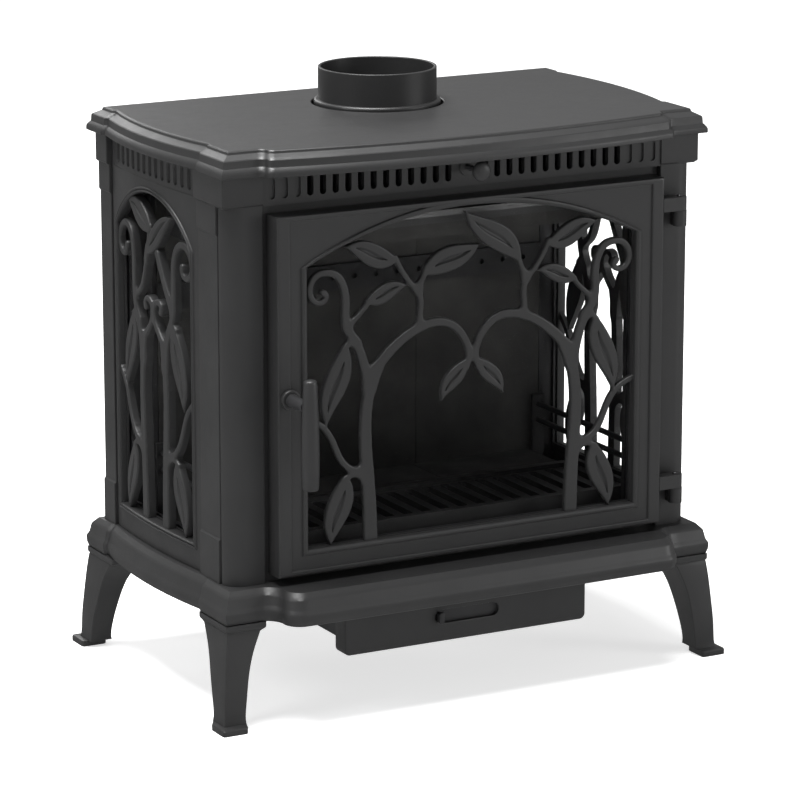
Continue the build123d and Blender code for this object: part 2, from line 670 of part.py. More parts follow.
def tree(s):
    """One tree of the door casting, mirrored by s; only the crown's inner leaf differs."""
    def m(*pts):
        return [D(s * x, z) for x, z in pts]
    limb(m((149, 216), (151, 284), (155, 340), (155, 392), (149, 424), (140, 448)), 19.5, 18)
    limb(m((150, 425), (139, 450), (108, 480), (86, 493), (51, 501), (27, 493), (10, 472), (5, 452), (9, 437)), 19, 9)
    limb(m((152, 430), (159, 460), (172, 491), (183, 510), (184, 543), (190, 568), (212, 581), (232, 571),
           (235.5, 556), (224, 544), (213, 546), (215, 554)), 15, 7)
    limb(m((76, 500), (77, 514), (75, 530), (80, 550)), 9, 10)
    limb(m((78, 547), (91, 556), (106, 578), (114, 594)), 9, 8)
    limb(m((82, 548), (73, 560), (67, 574)), 8, 8)
    limb(m((181, 506), (172, 516), (160, 527), (152, 537)), 8, 7)
    limb(m((168, 486), (178, 487), (186, 480)), 9, 8)
    limb(m((157, 318), (174, 320), (190, 333), (205, 364), (222, 385), (243, 395)), 9, 7.5)
    limb(m((158, 306), (170, 313), (186, 309)), 8, 7)
    for a, b, up, down in (((111, 588), (184, 612), 13, 14), ((154, 538), (97, 554), 9, 12),
                           ((184, 484), (213, 382), 16, 14), ((184, 312), (207, 225), 16, 15),
                           ((8, 446), (45, 397), 14, 7)):
        leaf(D(s * a[0], a[1]), D(s * b[0], b[1]), up if s > 0 else down, down if s > 0 else up)


def door_opening(grow):
    arch(0, open_hw, open_sill, open_spring, open_apex, grow)


with BuildPart() as door_frame:
    with BuildSketch(front(door_back)):
        with Locations((0, door_zc)):
            Rectangle(door_w, door_h)
    extrude(amount=door_t)
    fillet(door_frame.faces().sort_by(Axis.Y)[0].edges(), 2)
    with BuildSketch(front(door_back)):
        with Locations((0, door_zc)):
            Rectangle(door_w - 2 * door_skirt, door_h - 2 * door_skirt)
    extrude(amount=door_t - door_plate, mode=Mode.SUBTRACT)
    with BuildSketch(front(plate_back)):
        door_opening(0)
    extrude(amount=door_plate + 2, mode=Mode.SUBTRACT)
    # shallow panel between the border strip and the bead round the opening
    with BuildSketch(front(door_front)):
        with Locations((0, door_zc)):
            Rectangle(door_w - 35, door_h - 13.5)
        with BuildSketch(mode=Mode.SUBTRACT):
            door_opening(bead)
    extrude(amount=-1.5, mode=Mode.SUBTRACT)
    # latch spindle and glass retainer screw holes
    with BuildSketch(front(plate_back)):
        with Locations((latch_x, latch_z)):
            Circle(spindle_r + run)
    extrude(amount=door_plate + 2, mode=Mode.SUBTRACT)
save(door_frame.part, "door_frame")

fret_front = door_front + 5.0
with BuildPart() as door_fretwork:
    with BuildSketch(front(plate_back + rim)):
        door_opening(1)
        with Locations((0, (open_sill + open_spring) / 2)):
            Rectangle(2 * open_hw + 2 * rim_lap, open_spring - open_sill + 4 * rim_lap)
        with BuildSketch(mode=Mode.SUBTRACT):
            door_opening(-1.5)
    extrude(amount=rim)
    with BuildSketch(front(plate_back + rim)):
        tree(-1)
        tree(1)
        leaf(D(-71, 566), D(9, 597), 16, 14)
        leaf(D(70, 570), D(-11, 641), 13, 18)
        with BuildSketch(mode=Mode.INTERSECT):
            door_opening(-0.2)
    extrude(amount=plate_back + rim - fret_front)
save(door_fretwork.part, "door_fretwork")

pane_back = plate_back + rim + glass
pane_z0, pane_z1 = open_sill - 14, open_apex + 2.5
with BuildPart() as door_glass:
    with BuildSketch(front(pane_back)):
        with Locations((0, (pane_z0 + pane_z1) / 2)):
            Rectangle(2 * open_hw + 28, pane_z1 - pane_z0)
    extrude(amount=glass)
save(door_glass.part, "door_glass")

keep_back = pane_back + rim
with BuildPart() as door_retainer:
    with BuildSketch(front(keep_back)):
        with Locations((0, (door_z0 + 7 + pane_z1 + 0.5) / 2)):
            Rectangle(2 * rope_hx + 9, pane_z1 + 0.5 - door_z0 - 7)
        with Locations((0, (open_sill + 1 + open_apex - 2.5) / 2)):
            Rectangle(2 * open_hw, open_apex - 3.5 - open_sill, mode=Mode.SUBTRACT)
    extrude(amount=rim)
save(door_retainer.part, "door_glass_retainer")

clip_x = rope_hx + 13.5
clip_z = [door_z0 + door_h * k for k in (0.125, 0.34, 0.66, 0.875)]
with BuildPart() as retainer_clips:
    with BuildSketch(front(keep_back + 2)):
        with Locations(*[(s * clip_x, z) for s in (-1, 1) for z in clip_z]):
            Rectangle(15, 12)
    extrude(amount=2)
    with BuildSketch(front(keep_back)):
        with Locations(*[(s * clip_x, z) for s in (-1, 1) for z in clip_z]):
            Circle(5)
    extrude(amount=keep_back - plate_back)
save(retainer_clips.part, "retainer_clips")

rope_r = 3.8
with BuildPart() as door_gasket:
    with BuildSketch(front(keep_back)):
        with Locations((0, (rope_z0 + rope_z1) / 2)):
            RectangleRounded(2 * (rope_hx + rope_r), rope_z1 - rope_z0 + 2 * rope_r, 14)
            RectangleRounded(2 * (rope_hx - rope_r), rope_z1 - rope_z0 - 2 * rope_r, 8, mode=Mode.SUBTRACT)
    extrude(amount=-2 * rope_r)
    fillet(door_gasket.faces().filter_by(Axis.Y).sort_by(Axis.Y)[-1].edges(), rope_r * 0.8)
save(door_gasket.part, "door_rope_gasket")

# ================================================================ hinges
arm_t = 18.0
hinge_levels = (door_z0 + door_h - 47, door_z0 + 44)          # underside of the two door arms
arm_y0, arm_y1 = hinge_y - 9, hinge_y + 7.5
with BuildPart() as hinge_arms:
    for z in hinge_levels:
        with BuildSketch(Plane.XY.offset(z)):
            with Locations(((door_hw + hinge_x) / 2, (arm_y0 + arm_y1) / 2)):
                Rectangle(hinge_x - door_hw, arm_y1 - arm_y0)
            with Locations((hinge_x, hinge_y)):
                Circle(9)
        extrude(amount=arm_t)
    with Locations((hinge_x, hinge_y, 0)):
        Cylinder(pin_r + run, 2 * z_lid, mode=Mode.SUBTRACT)
save(hinge_arms.part, "door_hinge_arms")

barrel_h = 21.0
with BuildPart() as hinge_barrels:
    for z in hinge_levels:
        with BuildSketch(Plane.XY.offset(z - free - barrel_h)):
            with Locations((hinge_x, hinge_y)):
                Circle(9.3)
            with Locations((hinge_x, (hinge_y - half_d) / 2)):
                Rectangle(13, -half_d - hinge_y)
        extrude(amount=barrel_h)
    with Locations((hinge_x, hinge_y, 0)):
        Cylinder(pin_r, 2 * z_lid, mode=Mode.SUBTRACT)
save(hinge_barrels.part, "hinge_barrels")

with BuildPart() as hinge_pins:
    for z in hinge_levels:
        with BuildSketch(Plane.XY.offset(z - free - barrel_h)):
            with Locations((hinge_x, hinge_y)):
                Circle(pin_r)
        extrude(amount=barrel_h + free + arm_t + 2)
    chamfer(hinge_pins.edges().filter_by(GeomType.CIRCLE), 0.8)
save(hinge_pins.part, "hinge_pins")

# ================================================================ latch
boss_t = 6.0
grip_y = door_front - 57
grip_r = 11.5
grip_z0, grip_z1 = latch_z - 105, latch_z + 37
with BuildPart() as handle_boss:
    with BuildSketch(front(door_front)):
        with Locations((latch_x, latch_z)):
            Circle(13)
            Circle(spindle_r + run, mode=Mode.SUBTRACT)
    extrude(amount=boss_t)
    fillet(handle_boss.faces().sort_by(Axis.Y)[0].edges().filter_by(
        lambda e: e.radius > 10), 2)
save(handle_boss.part, "handle_boss")

cam_y0, cam_y1 = door_back - 3.5, door_back + 0.2
with BuildPart() as latch_spindle:
    with BuildSketch(front(cam_y1)):
        with Locations((latch_x, latch_z)):
            Circle(spindle_r)
    extrude(amount=cam_y1 - grip_y)
    with BuildSketch(front(door_front - boss_t - free)):
        with Locations((latch_x, latch_z)):
            Circle(8.5)
    with BuildSketch(front(grip_y + grip_r + 1)):
        with Locations((latch_x, latch_z)):
            Circle(7)
    loft()
save(latch_spindle.part, "latch_spindle")

with BuildPart() as latch_cam:
    with BuildSketch(front(cam_y1)):
        with Locations((latch_x, latch_z)):
            Circle(9)
            with Locations((0, -9)):
                Rectangle(20, 6, mode=Mode.SUBTRACT)
            Circle(spindle_r, mode=Mode.SUBTRACT)
    extrude(amount=cam_y1 - cam_y0)
save(latch_cam.part, "latch_cam")

with BuildPart() as latch_keeper:
    with BuildSketch(front(frame_y)):
        with Locations((latch_x, latch_z + 19)):
            Rectangle(16, 14)
            Circle(2.6, mode=Mode.SUBTRACT)
    extrude(amount=5)
    chamfer(latch_keeper.faces().sort_by(Axis.Y)[0].edges().sort_by(Axis.Z)[0], 3)
save(latch_keeper.part, "latch_keeper")

with BuildPart() as handle_grip:
    with BuildSketch(Plane.XZ.offset(-grip_y)):
        with BuildLine():
            Polyline((latch_x, grip_z1), (latch_x, grip_z0), (latch_x + grip_r - 2, grip_z0),
                     (latch_x + grip_r - 0.8, grip_z0 + 3))
            Spline((latch_x + grip_r - 0.8, grip_z0 + 3), (latch_x + grip_r, grip_z0 + 40), (latch_x + 8.4, grip_z1 - 3))
            Polyline((latch_x + 8.4, grip_z1 - 3), (latch_x + 6.4, grip_z1), (latch_x, grip_z1))
        make_face()
    revolve(axis=Axis((latch_x, grip_y, 0), (0, 0, 1)))
    with BuildSketch(front(grip_y + grip_r + 2)):
        with Locations((latch_x, latch_z)):
            Circle(spindle_r)
    extrude(amount=grip_r + 2, mode=Mode.SUBTRACT)
save(handle_grip.part, "handle_grip")

# ================================================================ upper air control
with BuildPart() as air_rod:
    with BuildSketch(front(frame_y + 59)):
        with Locations((0, rod_z)):
            Circle(rod_r)
    extrude(amount=frame_y + 59 - knob_y)
save(air_rod.part, "upper_air_rod")

with BuildPart() as air_knob:
    with BuildSketch(Plane.YZ):
        with BuildLine():
            Polyline((knob_y - 8, rod_z), (knob_y + 4, rod_z), (knob_y + 4, rod_z + 8),
                     (knob_y + 1.5, rod_z + 12.9), (knob_y - 3.5, rod_z + 12.9))
            Spline((knob_y - 3.5, rod_z + 12.9), (knob_y - 6.8, rod_z + 8), (knob_y - 8, rod_z))
        make_face()
    revolve(axis=Axis((0, 0, rod_z), (0, 1, 0)))
    with BuildSketch(front(knob_y + 4)):
        with Locations((0, rod_z)):
            Circle(rod_r)
    extrude(amount=4, mode=Mode.SUBTRACT)
save(air_knob.part, "upper_air_knob")

with BuildPart() as air_shutter:
    with BuildSketch(Plane.XY.offset(z_fire + free)):
        with Locations((0, frame_y + 62)):
            Rectangle(400, 34)
        with Locations(*[(i * 44, frame_y + 56) for i in range(-4, 5)]):
            Rectangle(24, 10, mode=Mode.SUBTRACT)
    extrude(amount=2.5)
    with BuildSketch(front(frame_y + 63)):
        with Locations((0, (z_fire + 1 + rod_z + 12) / 2)):
            Rectangle(30, rod_z + 11 - z_fire)
    extrude(amount=4)
    with BuildSketch(front(frame_y + 63)):
        with Locations((0, rod_z)):
            Circle(rod_r)
    extrude(amount=8, mode=Mode.SUBTRACT)
save(air_shutter.part, "upper_air_shutter")

# ================================================================ ash drawer
ash_hw = 181.0
ash_y0 = -half_d - 6
ash_z0, ash_z1 = leg_h - 71, leg_h - 1
house_z0 = leg_h - 51
house_y1 = half_d - 79
house_hw = ash_hw - 3
with BuildPart() as ash_housing:
    with BuildSketch(Plane.XY.offset(house_z0)):
        with Locations((0, (ash_y0 + 27.5 + house_y1) / 2)):
            Rectangle(2 * house_hw, house_y1 - ash_y0 - 27.5)
    extrude(amount=z_body - 9 - house_z0)
    with BuildSketch(Plane.XY.offset(house_z0 + 2)):
        with Locations((0, (ash_y0 + 27.5 + house_y1) / 2 - 2)):
            Rectangle(2 * house_hw - 4, house_y1 - ash_y0 - 27.5)
    extrude(amount=z_body, mode=Mode.SUBTRACT)
save(ash_housing.part, "ash_housing")

pan_hw = house_hw - 8
with BuildPart() as drawer_runners:
    with BuildSketch(front(house_y1 - 2)):
        for s in (-1, 1):
            with Locations((s * (house_hw - 7), house_z0 + 3)):
                Rectangle(10, 2)
            with Locations((s * (house_hw - 3), house_z0 + 10)):
                Rectangle(2, 16)
    extrude(amount=house_y1 - 2 - ash_y0 - 32)
save(drawer_runners.part, "drawer_runners")

slot_hw, slot_zc, slot_h = 47.5, leg_h - 37, 18.0
with BuildPart() as drawer_front:
    with BuildSketch(front(ash_y0 + 27)):
        with BuildLine():
            Polyline((-ash_hw, ash_z0 + 8), (-ash_hw, ash_z1), (ash_hw, ash_z1), (ash_hw, ash_z0 + 8))
            RadiusArc((ash_hw, ash_z0 + 8), (ash_hw - 8, ash_z0), 8)
            Line((ash_hw - 8, ash_z0), (-ash_hw + 8, ash_z0))
            RadiusArc((-ash_hw + 8, ash_z0), (-ash_hw, ash_z0 + 8), 8)
        make_face()
    extrude(amount=27)
    fillet(drawer_front.faces().sort_by(Axis.Y)[0].edges(), 3)
    with BuildSketch(front(ash_y0 + 27)):
        with Locations((0, (ash_z0 + 3 + ash_z1 + 10) / 2)):
            Rectangle(2 * ash_hw - 5, ash_z1 + 7 - ash_z0)
    extrude(amount=22, mode=Mode.SUBTRACT)
    with BuildSketch(front(ash_y0)):
        with Locations((0, slot_zc)):
            RectangleRounded(2 * slot_hw, slot_h, 4)
    extrude(amount=-6, mode=Mode.SUBTRACT)
save(drawer_front.part, "ash_drawer_front")

pan_z0 = house_z0 + 4 + free
with BuildPart() as ash_pan:
    with BuildSketch(Plane.XY.offset(pan_z0)):
        with Locations((0, (ash_y0 + 11 + house_y1 - 7) / 2)):
            Rectangle(2 * pan_hw, house_y1 - 7 - ash_y0 - 11)
    extrude(amount=40)
    with BuildSketch(Plane.XY.offset(pan_z0 + 2)):
        with Locations((0, (ash_y0 + 11 + house_y1 - 7) / 2)):
            Rectangle(2 * pan_hw - 4, house_y1 - 7 - ash_y0 - 15)
    extrude(amount=40, mode=Mode.SUBTRACT)
    # mounting blocks against the back of the drawer front
    with BuildSketch(front(ash_y0 + 11)):
        with Locations(*[(s * (pan_hw - 14), pan_z0 + 18) for s in (-1, 1)]):
            Rectangle(24, 30)
    extrude(amount=6)
save(ash_pan.part, "ash_pan")

# primary air shutter behind the slot, with its lever tab at the left end
tab_w = 8.0
with BuildPart() as air_lever:
    with BuildSketch(front(ash_y0 + 7.4)):
        with Locations((-slot_hw + 2 + tab_w / 2 + 30, slot_zc)):
            Rectangle(90, slot_h + 10)
        with Locations((-slot_hw + 2 + tab_w / 2 + 50, slot_zc)):
            Rectangle(30, 12, mode=Mode.SUBTRACT)
    extrude(amount=2)
    with BuildSketch(front(ash_y0 + 5.4)):
        with Locations((-slot_hw + 2 + tab_w / 2, slot_zc)):
            Rectangle(tab_w, slot_h - 5)
    extrude(amount=14)
save(air_lever.part, "primary_air_lever")
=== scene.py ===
# %% [markdown]
# # A cast-iron wood burning stove
# The imported CAD model is the frame of this scene: every new surface takes its place from the
# boxes of the CAD nodes. We load it first.

# %% Load the frame
import json
import math

import bmesh
import bpy
import numpy as np
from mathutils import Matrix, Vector


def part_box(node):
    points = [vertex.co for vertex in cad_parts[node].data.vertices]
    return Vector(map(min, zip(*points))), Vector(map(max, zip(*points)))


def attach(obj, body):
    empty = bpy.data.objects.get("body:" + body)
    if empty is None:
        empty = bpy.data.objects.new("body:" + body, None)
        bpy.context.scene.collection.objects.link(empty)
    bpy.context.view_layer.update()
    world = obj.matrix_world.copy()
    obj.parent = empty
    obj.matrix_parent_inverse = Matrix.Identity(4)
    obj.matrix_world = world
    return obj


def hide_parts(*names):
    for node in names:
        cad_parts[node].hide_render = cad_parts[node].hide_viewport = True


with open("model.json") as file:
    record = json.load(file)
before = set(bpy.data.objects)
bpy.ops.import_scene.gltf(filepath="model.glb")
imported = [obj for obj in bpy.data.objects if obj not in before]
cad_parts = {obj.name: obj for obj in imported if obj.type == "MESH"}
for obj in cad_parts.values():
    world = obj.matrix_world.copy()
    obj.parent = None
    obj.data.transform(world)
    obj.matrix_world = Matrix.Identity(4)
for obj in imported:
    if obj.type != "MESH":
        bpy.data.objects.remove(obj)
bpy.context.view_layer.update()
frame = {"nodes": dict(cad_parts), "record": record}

nodes = frame["nodes"]
MM = 0.001


def box_mm(node):
    """The lowest and highest corner of a CAD node in millimetres, as two arrays."""
    low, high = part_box(node)
    return np.array(low) / MM, np.array(high) / MM


# %% [markdown]
# ## Levels and widths
# A stove is stacked from castings, so a few levels set almost everything: the base plate, the top
# plate, the door and the posts. They are read from the frame instead of typed in.

# %% Read the main sizes from the CAD boxes
base_low, base_high = box_mm("base_plate")
top_low, top_high = box_mm("top_plate")
post_low, post_high = box_mm("post_front_right")
rear_low = box_mm("post_rear_right")[0]
door_low, door_high = box_mm("door_frame")
fret_low, fret_high = box_mm("door_fretwork")

z_base, z_body = base_low[2], base_high[2]
z_lid, z_top = top_low[2], top_high[2]
capital_side, capital_front = 6.0, 2.0   # how far a post's capital stands out
half_w = post_high[0] - capital_side
half_d = -(post_low[1] + capital_front)
side_y0, side_y1 = post_high[1] + 2, rear_low[1] - 2
side_mid = (side_y0 + side_y1) / 2
door_hw = door_high[0]
door_front, door_back = door_low[1], door_high[1]
wall = 9.0                               # thickness of a casting
strip_w, column_r = 51.0, 23.0           # a front post's strip and its quarter-round column
plate_back = door_front + wall
# the door's arched opening: border beside and below it, drop of its springing and of its crown
border, border_low, spring_drop, crown_drop = 42.0, 33.0, 68.0, 9.5
opening = dict(hw=door_hw - border, sill=door_low[2] + border_low, spring=door_high[2] - spring_drop,
               apex=door_high[2] - crown_drop)
# the side window, measured in the same way from the panel's ends, the base plate and the top plate
win_margin, win_low, win_spring_drop, win_crown_drop = 18.5, 35.0, 113.5, 57.0
win_y = side_mid + 2
window = dict(hw=(side_y1 - side_y0) / 2 - win_margin, sill=z_body + win_low, spring=z_lid - win_spring_drop,
              apex=z_lid - win_crown_drop)
print("body from", z_body, "to", z_lid, "door half width", door_hw, "opening", opening)

# %% [markdown]
# ## Meshes from grids
# Almost every surface is a grid of points: one direction runs along a shape, the other across it.
# A grid needs no hand-made faces, because each quad joins four neighbours. Some grids close on
# themselves in one direction, as a tube does, and some in both, as a frame round a hole does.


# %% Grid faces, caps and finished pieces
def grid_faces(rows, columns, close_rows=False, close_columns=True):
    """Quads between neighbouring points of a grid, whose points are numbered row by row."""
    r = np.arange(rows if close_rows else rows - 1)[:, None]
    c = np.arange(columns if close_columns else columns - 1)[None, :]
    r1, c1 = (r + 1) % rows, (c + 1) % columns
    return np.stack([r * columns + c, r * columns + c1, r1 * columns + c1, r1 * columns + c], -1).reshape(-1, 4)


class Casting:
    """Shells of one piece, gathered in millimetres and made into one mesh in metres."""

    def __init__(self):
        self.points, self.faces, self.count = [], [], 0

    def grid(self, points, close_rows=False, close_columns=True, caps=False):
        """Adds a grid of shape rows × columns × 3; caps close its first and last row."""
        points = np.asarray(points, float)
        rows, columns = points.shape[:2]
        faces = (grid_faces(rows, columns, close_rows, close_columns) + self.count).tolist()
        if caps:
            last = self.count + (rows - 1) * columns
            faces.append(list(range(self.count, self.count + columns))[::-1])
            faces.append(list(range(last, last + columns)))
        self.points.append(points.reshape(-1, 3))
        self.faces += faces
        self.count += rows * columns
        return self

    def piece(self, name, body, stands_for, finish, sharp=35.0):
        """Merges doubles, turns the faces outwards and puts the piece on its body."""
        mesh = bpy.data.meshes.new(name)
        mesh.from_pydata(np.concatenate(self.points) * MM, [], self.faces)
        work = bmesh.new()
        work.from_mesh(mesh)
        bmesh.ops.remove_doubles(work, verts=work.verts, dist=2e-6)
        bmesh.ops.dissolve_degenerate(work, edges=work.edges, dist=1e-7)
        bmesh.ops.recalc_face_normals(work, faces=work.faces)
        work.to_mesh(mesh)
        work.free()
        mesh.shade_smooth()
        mesh.set_sharp_from_angle(angle=math.radians(sharp))
        mesh.materials.append(finishes[finish])
        made = bpy.data.objects.new(name, mesh)
        bpy.context.scene.collection.objects.link(made)
        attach(made, body)
        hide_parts(*stands_for)
        print(f"{name}: {len(mesh.polygons)} faces")
        return made


def arc(a, b, c, count):
    """Points on the circle through three points, from a past b to c, in even steps of angle."""
    a, b, c = (np.array(p, float) for p in (a, b, c))
    m = 2 * np.array([b - a, c - a])
    centre = np.linalg.solve(m, [b @ b - a @ a, c @ c - a @ a])
    start, mid, end = (math.atan2(*(p - centre)[::-1]) for p in (a, b, c))
    turn = (end - start) % (2 * math.pi)
    if (mid - start) % (2 * math.pi) > turn:
        turn -= 2 * math.pi
    angle = start + turn * np.linspace(0, 1, count)
    return centre + np.linalg.norm(a - centre) * np.stack([np.cos(angle), np.sin(angle)], -1)


def run(a, b, count):
    """Points on a straight line from a to b."""
    return np.linspace(np.array(a, float), np.array(b, float), count)


def loop(*parts):
    """Joins the parts of a closed outline; each part's last point is the next one's first."""
    return np.concatenate([part[:-1] for part in parts])


def spline(points, count):
    """A smooth curve through the points: natural cubics in the distance between them, so
    position, direction and bend all run on from one stretch to the next."""
    p = np.asarray(points, float)
    t = np.concatenate([[0], np.cumsum(np.linalg.norm(np.diff(p, axis=0), axis=1) ** 0.75)])
    h, n = np.diff(t), len(p)
    system, right = np.eye(n), np.zeros_like(p)
    inner = np.arange(1, n - 1)
    system[inner, inner - 1], system[inner, inner], system[inner, inner + 1] = h[:-1], 2 * (h[:-1] + h[1:]), h[1:]
    slope = np.diff(p, axis=0) / h[:, None]
    right[1:-1] = 6 * np.diff(slope, axis=0)
    bend = np.linalg.solve(system, right)
    u = np.linspace(0, t[-1], count)
    k = np.clip(np.searchsorted(t, u, side="right") - 1, 0, n - 2)
    x, w = (u - t[k])[:, None], h[k][:, None]
    return (p[k] + x * (slope[k] - w * (2 * bend[k] + bend[k + 1]) / 6)
            + x ** 2 * bend[k] / 2 + x ** 3 * (bend[k + 1] - bend[k]) / (6 * w))


# %% [markdown]
# ## Finishes
# The real stove is grey iron cast in sand and painted with matt black stove paint. Close up it has
# a fine grain from the sand, a slow waviness from the pattern, and a sheen that changes a little
# from place to place. All of it comes from noise on Object coordinates, so it stays on the metal.


# %% A helper that wires one finish
def add(tree, kind, **sockets):
    """Adds a node and sets its sockets or settings by name."""
    node = tree.nodes.new(kind)
    for key, value in sockets.items():
        name = key.replace("_", " ")
        if name in node.inputs:
            node.inputs[name].default_value = value
        else:
            setattr(node, key, value)
    return node


def ramp(tree, source, stops):
    """A colour ramp driven by source; stops are (place, grey or colour)."""
    node = tree.nodes.new("ShaderNodeValToRGB")
    for k, (place, value) in enumerate(stops):
        stop = node.color_ramp.elements[k] if k < 2 else node.color_ramp.elements.new(place)
        stop.position = place
        stop.color = (*((value,) * 3 if isinstance(value, float) else value), 1)
    tree.links.new(source, node.inputs["Fac"])
    return node.outputs["Color"]


def cast_finish(name, dark, light, rough, grain=0.25, wave=0.10, metal=0.0, specular=0.4, grain_size=900.0):
    """Painted or bare iron: two colours mixed by cloudy noise, a fine sand grain and a slow wave
    as bump, and a roughness that wanders between two values."""
    material = bpy.data.materials.new(name)
    material.use_nodes = True
    tree = material.node_tree
    shader = tree.nodes["Principled BSDF"]
    place = add(tree, "ShaderNodeTexCoord").outputs["Object"]
    cloud = add(tree, "ShaderNodeTexNoise", Scale=14.0, Detail=5.0, Roughness=0.6)
    sand = add(tree, "ShaderNodeTexNoise", Scale=grain_size, Detail=3.0, Roughness=0.65)
    slow = add(tree, "ShaderNodeTexNoise", Scale=45.0, Detail=2.0)
    speck = add(tree, "ShaderNodeTexVoronoi", Scale=grain_size * 0.45)
    for node in (cloud, sand, slow, speck):
        tree.links.new(place, node.inputs["Vector"])
    tree.links.new(ramp(tree, cloud.outputs["Fac"], [(0.3, dark), (0.72, light)]), shader.inputs["Base Color"])
    sheen = [(0.3, rough + 0.05), (0.7, rough - 0.05)]
    tree.links.new(ramp(tree, cloud.outputs["Fac"], sheen), shader.inputs["Roughness"])
    first = add(tree, "ShaderNodeBump", Strength=wave, Distance=0.002)
    second = add(tree, "ShaderNodeBump", Strength=grain, Distance=0.0004)
    third = add(tree, "ShaderNodeBump", Strength=grain * 0.35, Distance=0.0003)
    tree.links.new(slow.outputs["Fac"], first.inputs["Height"])
    tree.links.new(sand.outputs["Fac"], second.inputs["Height"])
    tree.links.new(speck.outputs["Distance"], third.inputs["Height"])
    tree.links.new(first.outputs["Normal"], second.inputs["Normal"])
    tree.links.new(second.outputs["Normal"], third.inputs["Normal"])
    tree.links.new(third.outputs["Normal"], shader.inputs["Normal"])
    shader.inputs["Metallic"].default_value = metal
    shader.inputs["Specular IOR Level"].default_value = specular
    return material


def glass_finish(name):
    """Clear glass ceramic: it is almost invisible from the front and mirrors a little."""
    material = bpy.data.materials.new(name)
    material.use_nodes = True
    tree = material.node_tree
    shader = tree.nodes["Principled BSDF"]
    place = add(tree, "ShaderNodeTexCoord").outputs["Object"]
    haze = add(tree, "ShaderNodeTexNoise", Scale=9.0, Detail=4.0)
    tree.links.new(place, haze.inputs["Vector"])
    tree.links.new(ramp(tree, haze.outputs["Fac"], [(0.3, 0.01), (0.75, 0.05)]), shader.inputs["Roughness"])
    shader.inputs["Base Color"].default_value = (0.02, 0.02, 0.02, 1)
    shader.inputs["Alpha"].default_value = 0.02
    shader.inputs["Specular IOR Level"].default_value = 0.5
    return material


finishes = {
    "black_iron": cast_finish("black_iron", (0.0185, 0.0185, 0.0188), (0.0225, 0.0225, 0.0228), 0.42, grain=0.32,
                              specular=0.5),
    "handle_enamel": cast_finish("handle_enamel", (0.021, 0.021, 0.0215), (0.025, 0.025, 0.0255), 0.42, grain=0.12),
    "sheet_steel": cast_finish("sheet_steel", (0.016, 0.016, 0.017), (0.024, 0.024, 0.025), 0.55, grain=0.10, wave=0.2),
    "machined_steel": cast_finish("machined_steel", (0.05, 0.05, 0.052), (0.075, 0.075, 0.078), 0.38, grain=0.08,
                                  metal=0.6),
    "refractory_board": cast_finish("refractory_board", (0.030, 0.030, 0.029), (0.055, 0.054, 0.052), 0.85,
                                    grain=0.45, grain_size=420.0, specular=0.2),
    "glass_ceramic": glass_finish("glass_ceramic"),
    "rope_gasket": cast_finish("rope_gasket", (0.05, 0.05, 0.05), (0.10, 0.10, 0.10), 0.9, grain=1.0,
                               grain_size=700.0, specular=0.15),
}

# %% Give every CAD node its finish
for part in frame["record"]["subparts"]:
    found = nodes[part["node"]]
    found.data.materials.clear()
    found.data.materials.append(finishes[part["material_slot"]])

# %% [markdown]
# ## Plans of the two plates
# Both plates have the same kind of outline: square corner blocks, sides that bow between them, and
# a front that steps out in an S and bows a little. One function draws it, and a number, grow,
# moves every side outwards, so that the mouldings of the edge can be drawn as nested outlines.


# %% The outline of a plate, and its edge profiles
def plate_plan(hw, hd, arc_y0, arc_y1, notch, bow, bx0, bx1, step_y, bow_y, grow):
    """Closed outline, anticlockwise from the rear right corner: straight corner blocks, an arc on
    each side, and at each end of the front two arcs that make an S."""
    hw, hd, step_y, bow_y = hw + grow, hd + grow, step_y - grow, bow_y - grow
    bx0, bx1 = bx0 + grow / 2, bx1 + grow / 2
    ym, xm, sm = (arc_y0 + arc_y1) / 2, (bx0 + bx1) / 2, (-hd + step_y) / 2
    outer = (bx1 * 0.27 + xm * 0.73, -hd * 0.65 + sm * 0.35)
    inner = (bx0 * 0.27 + xm * 0.73, step_y * 0.65 + sm * 0.35)
    return loop(
        run((hw, hd), (-hw, hd), 60), run((-hw, hd), (-hw, arc_y1 + notch), 8),
        run((-hw, arc_y1 + notch), (-hw + notch, arc_y1), 3),
        arc((-hw + notch, arc_y1), (-hw - bow, ym), (-hw + notch, arc_y0), 60),
        run((-hw + notch, arc_y0), (-hw, arc_y0 - notch), 3), run((-hw, arc_y0 - notch), (-hw, -hd), 8),
        run((-hw, -hd), (-bx1, -hd), 6),
        arc((-bx1, -hd), (-outer[0], outer[1]), (-xm, sm), 10),
        arc((-xm, sm), (-inner[0], inner[1]), (-bx0, step_y), 10),
        arc((-bx0, step_y), (0, bow_y), (bx0, step_y), 90),
        arc((bx0, step_y), inner, (xm, sm), 10), arc((xm, sm), outer, (bx1, -hd), 10),
        run((bx1, -hd), (hw, -hd), 6), run((hw, -hd), (hw, arc_y0 - notch), 8),
        run((hw, arc_y0 - notch), (hw - notch, arc_y0), 3),
        arc((hw - notch, arc_y0), (hw + bow, ym), (hw - notch, arc_y1), 60),
        run((hw - notch, arc_y1), (hw, arc_y1 + notch), 3), run((hw, arc_y1 + notch), (hw, hd), 8))


def top_plan(grow):
    return plate_plan(half_w - 6, half_d - 4, side_y0 - 20, side_y1, 4, 11,
                      half_w - 64, half_w - 46, -half_d - 12, -half_d - 37, grow)


def base_plan(grow):
    return plate_plan(half_w + 4, half_d + 11, side_y0 - 26, side_y1 + 3, 4, 8,
                      half_w - 77, half_w - 41, -half_d - 58.5, -half_d - 60, grow)


def at(plan, z):
    """A flat outline lifted to level z."""
    return np.column_stack([plan, np.full(len(plan), z)])


